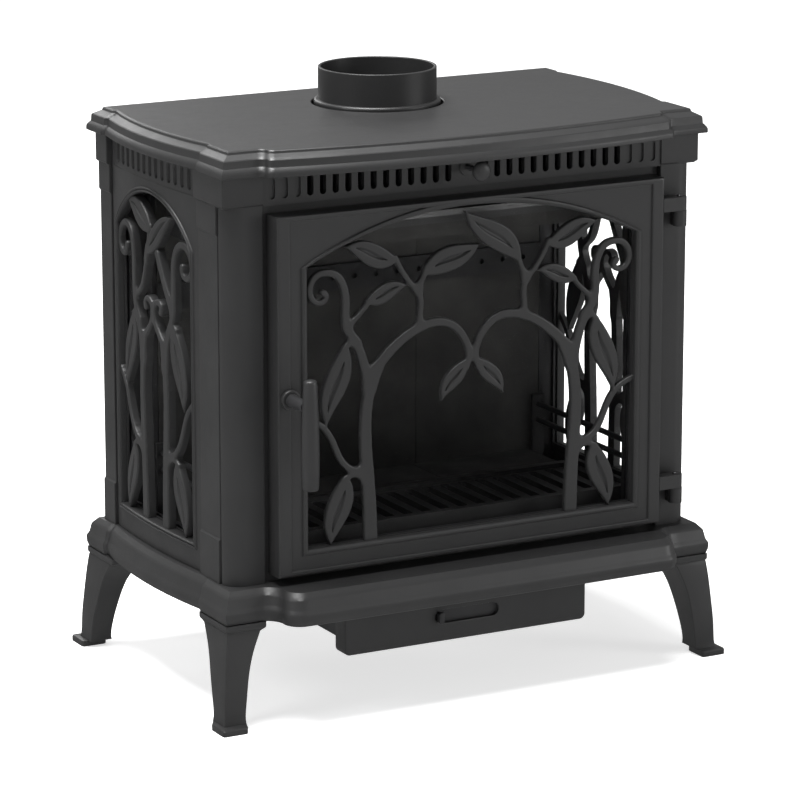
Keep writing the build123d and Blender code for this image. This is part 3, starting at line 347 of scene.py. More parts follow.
def squared(plan, x0, x1, y0, y1):
    """The outline pressed onto a rectangle inside it: each point goes to the nearest place on it."""
    return np.column_stack([np.clip(plan[:, 0], x0, x1), np.clip(plan[:, 1], y0, y1)])


# (how far the outline has grown, height above the plate's underside)
top_edge = [(-3.0, 32.0), (-1.2, 32.0), (0.4, 31.6), (1.6, 30.4), (2.0, 28.6), (2.6, 27.6), (7.4, 24.9),
            (11.9, 22.4), (12.9, 21.2), (13.2, 19.6), (13.6, 13.4), (14.0, 12.2), (15.6, 10.6), (17.4, 8.2),
            (18.3, 6.2), (18.5, 4.4), (18.5, 1.2), (18.0, 0.3), (17.0, 0.0)]
base_edge = [(-2.0, 42.0), (0.0, 42.0), (1.2, 41.7), (2.0, 40.8), (5.2, 37.2), (8.4, 33.6), (9.1, 31.8),
             (11.2, 21.6), (11.9, 19.9), (13.9, 16.4), (14.4, 14.6), (14.4, 11.0),
             (13.9, 6.2), (13.2, 4.6), (12.2, 1.0), (11.2, 0.0)]

# %% Build the top plate
flue_low, flue_high = box_mm("flue_collar")
flue_y = (flue_low[1] + flue_high[1]) / 2
gap_r = 88.3                             # radius of the gap round the flue collar
lid_wall = 8.0                           # thickness of the plate's flat middle
round_gap = top_plan(0) - [0, flue_y]
round_gap = round_gap / np.linalg.norm(round_gap, axis=1)[:, None]
gap = lambda r: round_gap * r + [0, flue_y]
hollow = squared(top_plan(0), -half_w + 13, half_w - 13, -half_d + 13, half_d - 13)
rings = [at(gap(gap_r + 2.5), z_top), at(gap(gap_r + 0.8), z_top), at(gap(gap_r), z_top - 0.8),
         at(gap(gap_r), z_top - lid_wall), at(hollow, z_top - lid_wall), at(hollow, z_lid)]
rings += [at(top_plan(g), z_lid + h) for g, h in reversed(top_edge)]
Casting().grid(rings, close_rows=True).piece("top_plate_cast", "stove", ["top_plate"], "black_iron", sharp=21)

# %% Build the base plate
base_plan0 = base_plan(0)
arms = np.where(np.abs(base_plan0[:, 1:]) < half_d - 67,
                squared(base_plan0, -half_w + 3, half_w - 3, -half_d + 67, half_d - 67),
                squared(base_plan0, -half_w + 53, half_w - 53, -half_d - 34, half_d - 6))
ash_hole = squared(base_plan0, -160, 160, -150, -30)
rings = [at(ash_hole, z_body), at(ash_hole, z_body - wall), at(arms, z_body - wall), at(arms, z_base)]
rings += [at(base_plan(g), z_base + h) for g, h in reversed(base_edge)]
Casting().grid(rings, close_rows=True).piece("base_plate_cast", "stove", ["base_plate"], "black_iron", sharp=21)

# %% [markdown]
# ## Corner posts
# Each front post is one casting with three parts in plan: a flat strip beside the door, a quarter
# round column, and a pilaster on the side, with a narrow groove between column and pilaster. The
# plinth and the collar are the pilaster's plan, grown a little, and a square block makes the capital.


# %% Post plans swept through their levels
def front_post_plan(grow):
    """Outline of the right front post: strip, column as a quarter circle, groove, pilaster. Only
    the pilaster grows."""
    cx, cy, x = half_w - column_r, -half_d + column_r, half_w + grow
    strip, inner, back = half_w - strip_w, half_w - wall, -half_d + wall
    diagonal = 16.26                     # the column's radius times the sine of 45 degrees
    return loop(
        run((strip, back), (strip, -half_d + 0.8), 3), run((strip, -half_d + 0.8), (strip + 0.8, -half_d), 2),
        run((strip + 0.8, -half_d), (cx, -half_d), 6),
        arc((cx, -half_d), (cx + diagonal, cy - diagonal), (half_w, cy), 16),
        run((half_w, cy), (half_w - 2.2, cy + 1.0), 3), run((half_w - 2.2, cy + 1.0), (half_w - 2.2, cy + 3.0), 2),
        run((half_w - 2.2, cy + 3.0), (x - 0.4, cy + 3.6), 3), run((x - 0.4, cy + 3.6), (x, cy + 4.2), 2),
        run((x, cy + 4.2), (x, side_y0 - 3), 8), run((x, side_y0 - 3), (x - 1.0, side_y0 - 2), 2),
        run((x - 1.0, side_y0 - 2), (inner, side_y0 - 2), 3),
        run((inner, side_y0 - 2), (inner, back), 3), run((inner, back), (strip, back), 3))


def capital_plan(grow):
    """Outline of the capital: a square block across strip, column and pilaster, which stands
    grow in front of the strip and grow plus four millimetres beyond the pilaster."""
    x, y = half_w + 4 + grow, -half_d - grow
    strip, inner, back = half_w - strip_w, half_w - wall, -half_d + wall
    return loop(run((strip, back), (strip, y), 3), run((strip, y), (x - 0.8, y), 8),
                run((x - 0.8, y), (x, y + 0.8), 2), run((x, y + 0.8), (x, side_y0 - 2), 8),
                run((x, side_y0 - 2), (inner, side_y0 - 2), 3), run((inner, side_y0 - 2), (inner, back), 3),
                run((inner, back), (strip, back), 3))


def rear_post_plan(grow):
    """Outline of the right rear post: a flat pilaster with small rounded edges."""
    x, strip, inner, back = half_w + grow, half_w - strip_w, half_w - wall, half_d - 8
    return loop(
        run((strip, back), (inner, back), 3), run((inner, back), (inner, side_y1 + 2), 3),
        run((inner, side_y1 + 2), (x - 0.8, side_y1 + 2), 3), run((x - 0.8, side_y1 + 2), (x, side_y1 + 2.8), 2),
        run((x, side_y1 + 2.8), (x, half_d - 0.8), 5), run((x, half_d - 0.8), (x - 0.8, half_d), 2),
        run((x - 0.8, half_d), (strip, half_d), 4), run((strip, half_d), (strip, back), 2))


body_h = z_lid - z_body
# (height above the base plate, grow): plinth, shaft and collar of a pilaster, and the capital
pilaster_levels = [(0, 2.2), (55.5, 2.2), (57.2, 1.8), (58.6, 0.6), (59.6, 0.0), (body_h - 80, 0.0),
                   (body_h - 79, 0.4), (body_h - 77.4, 1.8), (body_h - 76, 2.2), (body_h - 40, 2.2)]
capital_levels = [(body_h - 41, -1.5), (body_h - 39.9, -0.4), (body_h - 38.6, 1.2), (body_h - 37.4, 2.0), (body_h, 2.0)]


def stack(plan, levels, mirror):
    rows = np.array([at(plan(g), z_body + h) for h, g in levels])
    return rows * [mirror, 1, 1]


rear_levels = pilaster_levels + [(h, g + 4) for h, g in capital_levels[1:]]
for hand, mirror in (("right", 1), ("left", -1)):
    front_post = Casting().grid(stack(front_post_plan, pilaster_levels, mirror), caps=True)
    front_post.grid(stack(capital_plan, capital_levels, mirror), caps=True)
    front_post.piece(f"post_front_{hand}_cast", "stove", [f"post_front_{hand}"], "black_iron", sharp=24)
    Casting().grid(stack(rear_post_plan, rear_levels, mirror), caps=True).piece(
        f"post_rear_{hand}_cast", "stove", [f"post_rear_{hand}"], "black_iron", sharp=24)

# %% [markdown]
# ## Legs
# A cabriole leg is a block that curves out and down, and ends in a flared foot. Each level has a
# rectangle with rounded corners, whose outer corner and two widths are smooth functions of height.


# %% Loft the four legs
def rounded_rectangle(x0, x1, y0, y1, r, count=6):
    """Outline with quarter circles of radius r at its corners: one quarter circle is turned by
    zero to three right angles, and each copy is moved to its corner."""
    quarter = np.linspace(0, math.pi / 2, count)
    turn = np.stack([np.cos(quarter), np.sin(quarter)], -1) * r
    right_angle = np.array([[0, 1], [-1, 0]])
    corners = [(x1 - r, y1 - r), (x0 + r, y1 - r), (x0 + r, y0 + r), (x1 - r, y0 + r)]
    return np.concatenate([turn @ np.linalg.matrix_power(right_angle, k) + c for k, c in enumerate(corners)])


# (height, outer corner beyond the posts in x and y, width in x and y)
leg_shape = np.array([(138, 14.5, 22.5, 51, 76), (120, 17.0, 25.5, 45, 65), (99, 19.5, 28.0, 38.5, 54),
                      (69, 22.2, 30.8, 33.5, 46), (38.6, 24.5, 33.0, 31.5, 38), (14, 25.6, 34.2, 30.6, 34.4),
                      (9.0, 26.5, 35.0, 32.0, 35.5)], float)
sections = spline(leg_shape, 40)
foot = [(9.0, 30.0, 42.5, 33.0, 36.5, 2.5), (8.2, 33.0, 47.0, 35.4, 37.6, 3.5), (6.5, 34.0, 48.0, 36.0, 38.0, 4),
        (1.0, 34.0, 48.0, 36.0, 38.0, 4), (0.0, 33.2, 47.2, 34.4, 36.4, 3.5)]


def leg_ring(z, ox, oy, wx, wy, r):
    """One level of the front right leg."""
    x1, y0 = half_w + ox, -(half_d + oy)
    return at(rounded_rectangle(x1 - wx, x1, y0, y0 + wy, r), z)


# a moulded collar under the base plate, with a cove below it
collar = [(138.0, 17.5, 25.5, 57.0, 82.0, 2.0), (132.2, 17.5, 25.5, 57.0, 82.0, 2.0),
          (130.6, 17.1, 25.1, 56.2, 81.2, 2.0), (129.6, 16.2, 24.3, 54.2, 79.0, 2.0),
          (128.6, 15.6, 23.8, 52.0, 76.0, 1.6)]
shape = [leg_ring(*row) for row in collar]
shape += [leg_ring(*row, 1.5) for row in sections[sections[:, 0] < 127]] + [leg_ring(*row) for row in foot]
for end, flip_y in (("front", 1), ("rear", -1)):
    for hand, mirror in (("right", 1), ("left", -1)):
        Casting().grid(np.array(shape) * [mirror, flip_y, 1], caps=True).piece(
            f"leg_{end}_{hand}_cast", "stove", [f"leg_{end}_{hand}"], "black_iron", sharp=26)

# %% [markdown]
# ## Door frame
# The door is one casting with an arched opening. Its whole surface is a ring, so one grid that
# closes both ways makes it: the outlines run from the opening's bead over the flat panel and the
# border to the skirt, round the back, and home again. Each outline has the same number of points.


# %% Arched and rectangular outlines with matching points
def arch_outline(grow, hw, sill, spring, apex, c=0.0):
    """Sill, right jamb, arc, left jamb, from the lower left corner."""
    hw, sill, apex = hw + grow, sill - grow, apex + grow
    return loop(run((c - hw, sill), (c + hw, sill), 61), run((c + hw, sill), (c + hw, spring), 41),
                arc((c + hw, spring), (c, apex), (c - hw, spring), 81), run((c - hw, spring), (c - hw, sill), 41))


def frame_outline(x0, x1, z0, z1):
    """A rectangle with its points shared out in the same way as the arch's."""
    return loop(run((x0, z0), (x1, z0), 61), run((x1, z0), (x1, z1), 41),
                run((x1, z1), (x0, z1), 81), run((x0, z1), (x0, z0), 41))


def facing(outline, y):
    """An outline in X and Z, put at depth y."""
    return np.column_stack([outline[:, 0], np.full(len(outline), y), outline[:, 1]])


door_arch = lambda g, y: facing(arch_outline(g, **opening), y)
door_rect = lambda dx, dz, y: facing(frame_outline(-door_hw + dx, door_hw - dx, door_low[2] + dz, door_high[2] - dz), y)
y0 = door_front
rings = [door_arch(0, plate_back), door_arch(0, y0 + 2.8), door_arch(0.5, y0 + 1.0), door_arch(1.5, y0 + 0.1),
         door_arch(3.0, y0 - 0.5), door_arch(5.2, y0 - 0.5), door_arch(6.8, y0 + 0.1), door_arch(7.7, y0 + 1.2),
         door_arch(8.1, y0 + 2.6), door_arch(8.9, y0 + 2.6), door_rect(19.0, 7.8, y0 + 2.6),
         door_rect(18.4, 7.4, y0 + 2.6),
         door_rect(18.0, 7.1, y0 + 1.4),
         door_rect(17.3, 6.6, y0 + 0.3), door_rect(16.4, 5.8, y0), door_rect(15.4, 5.2, y0),
         door_rect(3.4, 3.4, y0), door_rect(2.6, 2.6, y0), door_rect(1.1, 1.1, y0 + 0.5),
         door_rect(0.3, 0.3, y0 + 1.5), door_rect(0, 0, y0 + 3.0), door_rect(0, 0, door_back - 0.6),
         door_rect(0.6, 0.6, door_back), door_rect(5.4, 5.4, door_back), door_rect(6, 6, door_back - 0.6),
         door_rect(6, 6, plate_back)]
Casting().grid(rings, close_rows=True).piece("door_frame_cast", "door", ["door_frame"], "black_iron", sharp=26)

# %% [markdown]
# ## Ash drawer front and air lever
# The drawer front is a shallow tray on edge, with a slot whose ends are half circles. Its surface is
# a ring again: slot, face, rounded edge, skirt, and back. The lever behind it is a shutter plate
# that covers the slot, with an upright thumb tab that stands out through the slot's left end.


# %% Build the drawer front and the lever
tray_low, tray_high = box_mm("ash_drawer_front")
lever_low, lever_high = box_mm("primary_air_lever")
tray_y, slot_z = tray_low[1], (lever_low[2] + lever_high[2]) / 2
slot_straight, slot_end = 38.5, 9        # half length of the slot's straight part, radius of its ends


def slot_outline(grow, y):
    """The slot: two runs and two half circles, with as many points as the tray's outline."""
    x, r = slot_straight, slot_end + grow
    return facing(loop(run((-x, slot_z - r), (x, slot_z - r), 61),
                       arc((x, slot_z - r), (x + r, slot_z), (x, slot_z + r), 41),
                       run((x, slot_z + r), (-x, slot_z + r), 81),
                       arc((-x, slot_z + r), (-x - r, slot_z), (-x, slot_z - r), 41)), y)


def tray_outline(cut, y):
    """The tray: a rectangle with its two lower corners rounded."""
    x, z0, z1, r = tray_high[0] - cut, tray_low[2] + cut, tray_high[2] - cut, 8.0 - cut
    k = r * (1 - math.sqrt(0.5))
    return facing(loop(run((-x + r, z0), (x - r, z0), 61), arc((x - r, z0), (x - k, z0 + k), (x, z0 + r), 12),
                       run((x, z0 + r), (x, z1), 30), run((x, z1), (-x, z1), 81), run((-x, z1), (-x, z0 + r), 30),
                       arc((-x, z0 + r), (-x + k, z0 + k), (-x + r, z0), 12)), y)


rings = [slot_outline(0, tray_y + 5), slot_outline(0, tray_y + 1.0), slot_outline(0.3, tray_y + 0.3),
         slot_outline(1.0, tray_y), slot_outline(2.0, tray_y), tray_outline(4.0, tray_y), tray_outline(3.0, tray_y),
         tray_outline(1.5, tray_y + 0.4), tray_outline(0.4, tray_y + 1.5), tray_outline(0, tray_y + 3),
         tray_outline(0, tray_high[1]), tray_outline(2.5, tray_high[1]), tray_outline(2.5, tray_y + 5)]
Casting().grid(rings, close_rows=True).piece(
    "ash_drawer_front_cast", "ash_drawer", ["ash_drawer_front"], "black_iron", sharp=28)

plate_end, plate_t = 50.0, 2.0           # where the shutter plate ends, and its thickness
plate = rounded_rectangle(lever_low[0], plate_end, lever_low[2], lever_high[2], 2.0)
tab_x = -41.5
# (half width, half height, depth): from the root behind the plate to the rounded tip
tab = [(3.0, 6.5, lever_high[1] - 1), (3.0, 6.5, tray_y - 2), (3.8, 7.9, tray_y - 3.5), (4.0, 8.3, tray_y - 5.0),
       (3.8, 8.1, lever_low[1] + 1.2), (3.1, 7.4, lever_low[1] + 0.3), (2.2, 6.4, lever_low[1])]
tab_rings = [facing(rounded_rectangle(tab_x - w, tab_x + w, slot_z - h, slot_z + h, w * 0.9), y) for w, h, y in tab]
lever = Casting().grid([facing(plate, lever_high[1]), facing(plate, lever_high[1] - plate_t)], caps=True)
lever.grid(tab_rings, caps=True)
lever.piece("primary_air_lever_cast", "air_lever", ["primary_air_lever"], "sheet_steel", sharp=32)

# %% [markdown]
# ## Side panels
# A side panel bulges between its posts, with a double bead round the arched window. Like the door
# it is a ring, from the window over the bead and the bulge to the edge and round the back. The band
# above it carries a row of blind slots, cut by a height that depends on the distance to a slot.


# %% The bulge, the ring and the slotted band
slot_pitch, slot_r, slot_reach = 18.0, 4.5, 9.0
band_z, slot_mid = z_lid - 44, z_lid - 19.5
wall_x = half_w - wall


def bulge(y, off=0.0):
    """X of the panel's outer face: an arc that stands 7 mm proud at its middle, plus off."""
    half, rise = (side_y1 - side_y0) / 2, 7.0
    radius = (half ** 2 + rise ** 2) / (2 * rise)
    return half_w - 2 + np.sqrt(radius ** 2 - (y - side_mid) ** 2) - (radius - rise) + off


on_bulge = lambda outline, off: np.column_stack([bulge(outline[:, 0], off), outline])
on_wall = lambda outline: np.column_stack([np.full(len(outline), wall_x), outline])
side_arch = lambda grow: arch_outline(grow, c=win_y, **window)
side_rect = lambda cut: frame_outline(side_y0 + cut, side_y1 - cut, z_body + cut, band_z)
# (how far outside the window, how proud of the bulge): two beads with a groove between them
double_bead = [(0.0, -1.2), (0.5, 0.6), (1.4, 1.7), (2.6, 1.8), (3.5, 1.0), (4.0, 0.3), (4.6, 1.0), (5.5, 1.9),
               (6.7, 1.8), (7.6, 0.9), (8.0, 0.0)]
panel_rings = [on_wall(side_arch(0))] + [on_bulge(side_arch(g), off) for g, off in double_bead]
panel_rings += [on_bulge(side_arch(8) * (1 - t) + side_rect(0.8) * t, 0) for t in (0.1, 0.3, 0.55, 0.8, 1.0)]
panel_rings += [on_bulge(side_rect(0), -0.8), on_wall(side_rect(0))]

ys = np.linspace(side_y0, side_y1, 349)[:, None]
zs = np.linspace(band_z, z_lid, 60)[None, :]
from_slot = (ys - side_mid + slot_pitch / 2) % slot_pitch - slot_pitch / 2
slot_gap = np.hypot(from_slot, np.maximum(np.abs(zs - slot_mid) - slot_reach, 0)) - slot_r
slot_gap = np.where(np.abs(ys - side_mid) > 6.5 * slot_pitch, 50, slot_gap)
field_gap = np.maximum(np.abs(ys - side_mid) - 124, band_z + 4.5 - zs)
cut = 3.0 * np.clip(0.5 - slot_gap / 1.1, 0, 1) + 0.8 * np.clip(0.5 - field_gap / 1.0, 0, 1)
band_face = np.stack([bulge(ys) - cut, ys + 0 * zs, zs + 0 * ys], -1)
band_back = band_face[::-1] * [0, 1, 1] + [wall_x, 0, 0]
for hand, mirror in (("right", 1), ("left", -1)):
    panel = Casting().grid(np.array(panel_rings) * [mirror, 1, 1], close_rows=True)
    panel.grid(np.concatenate([band_face, band_back]) * [mirror, 1, 1], close_rows=True, close_columns=False)
    for column in (0, -1):
        panel.grid(np.stack([band_face[:, column], band_back[::-1, column]]) * [mirror, 1, 1], close_columns=False)
    panel.piece(f"side_panel_{hand}_cast", "stove", [f"side_panel_{hand}"], "black_iron", sharp=26)

# %% [markdown]
# ## Fretwork
# The trees in the door and side windows are cast flat: an even face, rounded edges, and soft webs
# wherever two stems meet. Modelled one by one, stems would cross with hard seams. So the outline is
# worked out first, as a distance field on a fine grid: every point knows how far it is from the
# nearest edge, and the fields of two stems are blended where they meet. The mesh keeps the cells
# inside, moves its border points onto the edge, and takes its height from the distance.


# %% Distance fields of stems and leaves
def spine(points, radii, spacing=1.0):
    """Circles strung along a spline: centres, and radii read off evenly along its length."""
    reach = np.linalg.norm(np.diff(np.asarray(points, float), axis=0), axis=1).sum()
    count = max(8, int(reach / spacing))
    share = np.linspace(0, 1, count)
    return spline(points, count), np.interp(share, np.linspace(0, 1, len(radii)), radii)


def stem(points, w0, w1, bud=0.0):
    """A stem whose width runs from w0 to w1, with a bud that much thicker at its tip."""
    centres, radii = spine(points, (w0 / 2, w1 / 2))
    reach = np.linalg.norm(np.diff(centres, axis=0), axis=1).sum()
    left = reach * (1 - np.linspace(0, 1, len(centres)))
    return centres, radii * (1 + bud * np.exp(-(left / w1) ** 2)), None


def leaf(base, tip, up, down, bend=2.5):
    """A leaf: circles along a bowed midrib. The half width is a sine to a power, widest before
    the middle, and bend adds an S to the midrib, so that the tip turns."""
    base, tip = np.array(base, float), np.array(tip, float)
    chord = tip - base
    length = np.linalg.norm(chord)
    across = np.array([-chord[1], chord[0]]) / length
    up, down = up * 1.08, down * 1.08
    u = np.linspace(0, 1, int(length * 1.4))
    swell = np.sin(math.pi * u ** 0.86) ** 0.95
    line = base + u[:, None] * chord + (swell * (up - down) / 2 + bend * np.sin(2 * math.pi * u))[:, None] * across
    return line, np.maximum(swell * (up + down) / 2, 1.2), u


def blend(a, b, soft):
    """The smaller of two distances, rounded off over soft millimetres where they are close."""
    near = np.clip(soft - np.abs(a - b), 0, None) / soft
    return np.minimum(a, b) - near ** 2 * soft / 4


def draw(shapes, x0, x1, z0, z1, step, web=8.0, tuck=3.0):
    """Field and vein depth of all shapes on a grid. Each shape only touches the part near it."""
    xs, zs = np.arange(x0, x1 + step / 2, step), np.arange(z0, z1 + step / 2, step)
    field, vein = np.full((len(xs), len(zs)), 50.0), np.zeros((len(xs), len(zs)))
    for centres, radii, u in shapes:
        reach = radii.max() + 12
        i = slice(*np.searchsorted(xs, [centres[:, 0].min() - reach, centres[:, 0].max() + reach]))
        k = slice(*np.searchsorted(zs, [centres[:, 1].min() - reach, centres[:, 1].max() + reach]))
        here = np.stack(np.meshgrid(xs[i], zs[k], indexing="ij"), -1)
        gaps = np.linalg.norm(here[:, :, None] - centres, axis=-1)
        field[i, k] = blend(field[i, k], (gaps - radii).min(-1), web if u is None else tuck)
        if u is not None:                      # the sunken lens along a leaf's midrib
            nearest = gaps.argmin(-1)
            share = np.clip((u[nearest] - 0.16) / 0.70, 0, 1)
            half = radii.max() * 0.22 * np.sin(math.pi * share) + 1e-6
            cut = np.clip(1 - (gaps.min(-1) / half) ** 2, 0, 1) * np.clip(half, 0, 1)
            vein[i, k] = np.maximum(vein[i, k], cut)
    return xs, zs, field, vein


def cutwork(cast, xs, zs, field, vein, place, thick, edge=1.9, groove=3.0):
    """Adds the casting that the field outlines. Height is the thickness, less a quarter circle
    of radius edge near the outline, less the veins."""
    inside = field < 0
    cell = inside[:-1, :-1] | inside[1:, :-1] | inside[:-1, 1:] | inside[1:, 1:]
    slope = np.stack(np.gradient(field, xs, zs), -1)
    slope /= np.maximum(np.linalg.norm(slope, axis=-1), 1e-6)[..., None]
    flat = np.stack(np.meshgrid(xs, zs, indexing="ij"), -1)
    border = field > -0.3 * (xs[1] - xs[0])
    flat = np.where(border[..., None], flat - field[..., None] * slope, flat)
    depth_in = np.where(border, 0, -field)
    rounding = edge - np.sqrt(np.clip(edge ** 2 - (edge - np.minimum(depth_in, edge)) ** 2, 0, None))
    height = thick - rounding - groove * vein
    number = np.arange(field.size).reshape(field.shape)
    corners = np.stack([number[:-1, :-1], number[1:, :-1], number[1:, 1:], number[:-1, 1:]], -1)[cell]
    used, packed = np.unique(corners, return_inverse=True)
    top = packed.reshape(-1, 4)
    count = len(used)
    # walls hang from the cell edges that only one cell uses
    pairs = np.concatenate([top[:, [k, (k + 1) % 4]] for k in range(4)])
    key = np.sort(pairs, axis=1) @ [count, 1]
    _, first, times = np.unique(key, return_index=True, return_counts=True)
    rim = pairs[first[times == 1]]
    walls = np.column_stack([rim[:, 1], rim[:, 0], rim[:, 0] + count, rim[:, 1] + count])
    where = flat.reshape(-1, 2)[used]
    rows = [place(where[:, 0], where[:, 1], h) for h in (height.reshape(-1)[used], np.zeros(count))]
    faces = np.concatenate([top, top[:, ::-1] + count, walls]) + cast.count
    cast.points.append(np.concatenate(rows))
    cast.faces += faces.tolist()
    cast.count += 2 * count
    print("cutwork:", len(faces), "faces")


# %% The door's two trees
fit_x = opening["hw"] / 242
fit_z = (opening["apex"] - opening["sill"]) / 426.5
fret_back = fret_high[1]


def door_place(x, z, height):
    """A point of the door trees, drawn for a 484 by 426.5 opening and fitted to this one."""
    return np.stack([x * fit_x, fret_back - height, opening["sill"] + (z - 224) * fit_z], -1)


def door_tree(s):
    """One tree, mirrored by s: trunk, arching branch, tendril, twigs and leaves."""
    m = lambda *pts: [(s * x, z) for x, z in pts]
    shapes = [
        stem(m((149, 216), (151, 284), (155, 340), (155, 392), (149, 424), (140, 448)), 19.5, 14),
        stem(m((150, 425), (139, 450), (108, 480), (86, 493), (51, 501), (27, 493), (10, 472), (5, 452), (9, 437)),
             15, 8),
        stem(m((152, 430), (159, 460), (172, 491), (183, 510), (184, 543), (190, 568), (199, 578), (212, 581.5),
               (225, 579), (233, 570), (235.5, 559), (231, 548), (223, 543.5), (215, 545), (212, 551), (216, 556)),
             13, 6.5, bud=0.25),
        stem(m((77, 499), (77, 514), (76, 530), (80, 548)), 8, 7),
        stem(m((78, 545), (91, 556), (106, 578), (113, 592)), 7, 6),
        stem(m((80, 546), (73, 560), (67, 574)), 7, 6),
        stem(m((182, 506), (172, 516), (160, 527), (150, 539)), 6.5, 5.5),
        stem(m((168, 486), (178, 487), (186, 480)), 7, 6.5),
        stem(m((157, 318), (174, 320), (190, 333), (205, 364), (222, 385), (247, 396)), 8.5, 7),
        stem(m((158, 306), (170, 313), (186, 309)), 7, 6.5)]
    for a, b, up, down, bend in (((111, 588), (184, 612), 13, 14, -2.5), ((154, 538), (97, 554), 9, 12, 2),
                                 ((184, 484), (213, 382), 16, 14, -3), ((184, 312), (207, 225), 16, 15, -2.5),
                                 ((8, 446), (45, 397), 13, 8, -2)):
        shapes.append(leaf((s * a[0], a[1]), (s * b[0], b[1]), up if s > 0 else down, down if s > 0 else up, s * bend))
    return shapes


crown_leaves = [leaf((-71, 566), (9, 597), 16, 14, 2), leaf((70, 570), (-11, 641), 13, 18, -3)]
door_shapes = door_tree(-1) + door_tree(1) + crown_leaves
trees = Casting()
cutwork(trees, *draw(door_shapes, -246, 246, 220, 646, 1.0), door_place, thick=plate_back + 3 - fret_low[1])
trees.grid([door_arch(-1.5, fret_back), door_arch(-1.5, plate_back + 0.1), door_arch(6, plate_back + 0.1),
            door_arch(6, fret_back)], close_rows=True)
trees.piece("door_fretwork_cast", "door", ["door_fretwork"], "black_iron", sharp=48)

# %% The trees in the side windows
side_fit_y = window["hw"] / 112
side_fit_z = (window["apex"] - window["sill"]) / 428.5


def side_shapes():
    """Two young trees that cross at their crowns, drawn for a 224 by 428.5 window."""
    shapes = []
    for s in (-1, 1):
        m = lambda *pts: [(s * y, z) for y, z in pts]
        shapes += [
            stem(m((31, 214), (33, 300), (36, 400), (30, 452)), 17, 13),
            stem(m((33, 425), (29, 455), (12, 473), (2, 492), (4, 502), (10, 508), (18, 509), (24, 504), (23, 497)),
                 10, 7, bud=0.25),
            stem(m((33, 430), (44, 470), (57, 500), (60, 550), (67, 583), (76, 592), (88, 595), (100, 590), (108, 580),
                   (110, 567), (104, 557), (94, 554), (86, 558), (84, 567)), 13, 7, bud=0.25),
            stem(m((36, 312), (58, 320), (80, 350), (94, 380), (117, 402)), 8.5, 7),
            stem(m((38, 305), (52, 313), (68, 308)), 6.5, 6), stem(m((45, 476), (56, 483), (64, 482)), 7, 6.5)]
    shapes += [stem([(56, 506), (36, 520), (24, 545), (15, 575)], 8, 7),
               stem([(20, 560), (12, 585), (6, 603)], 6.5, 6.5),
               stem([(-56, 506), (-36, 535), (-14, 572)], 12, 10)]
    for a, b, up, down, bend in (((20, 566), (-58, 625), 8, 16, 2), ((3, 600), (76, 629), 16, 13, -2),
                                 ((-60, 486), (-86, 382), 15, 17, 2.5), ((60, 486), (87, 384), 16, 15, -2.5),
                                 ((-64, 311), (-86, 219), 14, 15, 2.5), ((64, 311), (86, 219), 15, 14, -2.5)):
        shapes.append(leaf(a, b, up, down, bend))
    return shapes


side_drawing = draw(side_shapes(), -116, 116, 214, 650, 1.0)


def side_trees(hand, mirror):
    """The same drawing for both sides; its face follows the bow of the side panel."""
    def place(y, z, height):
        bow = 6 * (1 - (y / 130) ** 2) * height / 11
        return np.stack([mirror * (half_w - 9 + bow + height * 0.55), win_y + y * side_fit_y,
                         window["sill"] + (z - 218) * side_fit_z], -1)

    cast = Casting()
    cutwork(cast, *side_drawing, place, thick=11.0, edge=2.2)
    def edge(grow, x):
        outline = arch_outline(grow, c=win_y, **window)
        return np.column_stack([np.full(len(outline), mirror * x), outline])

    x0 = half_w - 12
    cast.grid([edge(-1.5, x0), edge(-1.5, x0 + 2.9), edge(6, x0 + 2.9), edge(6, x0)], close_rows=True)
    cast.piece(f"side_fretwork_{hand}_cast", "stove", [f"side_fretwork_{hand}"], "black_iron", sharp=48)


side_trees("right", 1)
side_trees("left", -1)

# %% [markdown]
# ## Turned pieces
# The handle's grip and the knob of the upper air control are round, so each is a profile turned
# about its axis: a list of radius and height, swept through a full circle.


# %% Turn profiles about an axis
def turned(profile, origin, axis, count=48):
    """Grid of a profile (radius, distance along the axis) turned about the axis through origin."""
    axis = np.array(axis, float)
    a = np.cross(axis, [1, 0, 0] if abs(axis[0]) < 0.5 else [0, 1, 0])
    a /= np.linalg.norm(a)
    b = np.cross(axis, a)
    angle = np.linspace(0, 2 * math.pi, count, endpoint=False)[None, :, None]
    profile = np.asarray(profile, float)
    radius, height = profile[:, 0][:, None, None], profile[:, 1][:, None, None]
    return np.array(origin, float) + axis * height + radius * (np.cos(angle) * a + np.sin(angle) * b)


grip_low, grip_high = box_mm("handle_grip")
grip_x, grip_y = (grip_low[0] + grip_high[0]) / 2, (grip_low[1] + grip_high[1]) / 2
long = grip_high[2] - grip_low[2]
grip = [(0.01, 0), (8.8, 0), (9.9, 0.5), (10.5, 1.6), (10.8, 4), (11.3, 22), (11.5, 45), (11.2, 72), (10.5, 98),
        (9.4, 124), (8.7, long - 4), (8.2, long - 1.8), (7.0, long - 0.5), (5.6, long), (0.01, long)]
Casting().grid(turned(grip, (grip_x, grip_y, grip_low[2]), (0, 0, 1)), caps=True).piece(
    "handle_grip_turned", "latch", ["handle_grip"], "handle_enamel", sharp=50)

knob_low, knob_high = box_mm("upper_air_knob")
knob_x, knob_z = (knob_low[0] + knob_high[0]) / 2, (knob_low[2] + knob_high[2]) / 2
knob = [(4.2, 0), (7.2, 0.2), (8.2, 0.9), (10.9, 2.2), (12.4, 3.2), (12.9, 4.6), (12.8, 6.6), (12.1, 8.3), (10.4, 9.9),
        (7.6, 11.2), (4.0, 11.9), (0.01, 12.0)]
Casting().grid(turned(knob, (knob_x, knob_high[1], knob_z), (0, -1, 0)), caps=True).piece(
    "upper_air_knob_turned", "upper_air", ["upper_air_knob"], "handle_enamel", sharp=50)

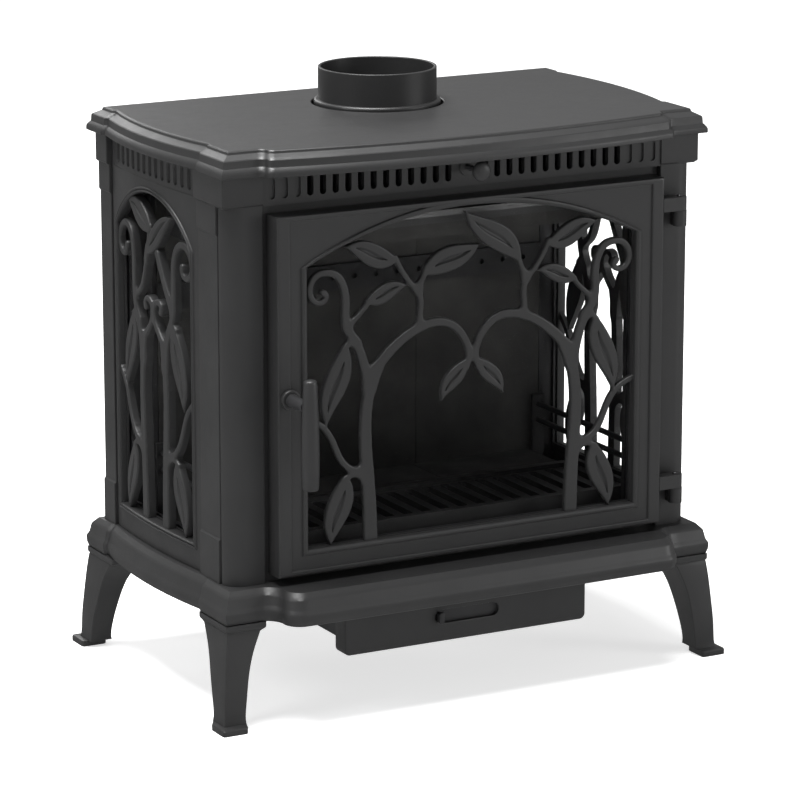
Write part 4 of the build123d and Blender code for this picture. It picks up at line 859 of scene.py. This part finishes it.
# %% [markdown]
# ## Floor, light and camera
# A plain pale floor, soft studio light from large panels, and a long lens from the front left. The
# floor gives a little light of its own, so that it stays white under a black stove, and glossy
# rays pass through it, because a white floor mirrored in the iron would wash out its black.

# %% Floor and lights
floor_mesh = bpy.data.meshes.new("floor")
floor_mesh.from_pydata([(-30, -30, 0), (30, -30, 0), (30, 30, 0), (-30, 30, 0)], [], [(0, 1, 2, 3)])
paint = bpy.data.materials.new("floor_paint")
paint.use_nodes = True
paint.node_tree.nodes["Principled BSDF"].inputs["Base Color"].default_value = (0.9, 0.9, 0.9, 1)
paint.node_tree.nodes["Principled BSDF"].inputs["Roughness"].default_value = 0.8
paint.node_tree.nodes["Principled BSDF"].inputs["Emission Color"].default_value = (1, 1, 1, 1)
paint.node_tree.nodes["Principled BSDF"].inputs["Emission Strength"].default_value = 0.62
floor_mesh.materials.append(paint)
floor = bpy.data.objects.new("floor", floor_mesh)
bpy.context.scene.collection.objects.link(floor)
floor.visible_glossy = False             # the iron mirrors the dim studio, not the white floor

world = bpy.data.worlds.new("studio")
bpy.context.scene.world = world
world.use_nodes = True
world.node_tree.nodes["Background"].inputs["Color"].default_value = (1, 1, 1, 1)
world.node_tree.nodes["Background"].inputs["Strength"].default_value = 0.26
bpy.context.scene.view_settings.view_transform = "Standard"


def panel_light(name, location, target, size, power):
    """A soft square light at location that faces target."""
    data = bpy.data.lights.new(name, "AREA")
    data.size, data.energy = size, power
    light = bpy.data.objects.new(name, data)
    bpy.context.scene.collection.objects.link(light)
    towards = np.array(target, float) - np.array(location, float)
    light.location = location
    light.rotation_mode = "QUATERNION"
    light.rotation_quaternion = Vector(towards).to_track_quat("-Z", "Y")


panel_light("overhead", (-0.8, 0.0, 4.4), (0, 0, 0), 2.4, 400)
panel_light("left", (-4.2, -0.4, 3.2), (0, 0, 0.4), 1.2, 34)
panel_light("back", (0.2, 5.0, 2.6), (0, 0, 0.6), 2.5, 60)
panel_light("right", (4.2, -3.6, 1.4), (0, 0, 0.4), 1.8, 60)

# %% Camera
camera_data = bpy.data.cameras.new("camera")
camera = bpy.data.objects.new("camera", camera_data)
bpy.context.scene.collection.objects.link(camera)
bpy.context.scene.camera = camera
camera_data.sensor_width = 36.0
camera_data.lens = 184.7
camera.location = (-2.5262, -4.7106, 1.6671)
camera.rotation_mode = "XYZ"
camera.rotation_euler = (math.radians(90 - 13.880), 0, math.radians(-28.256))
camera_data.clip_end = 100
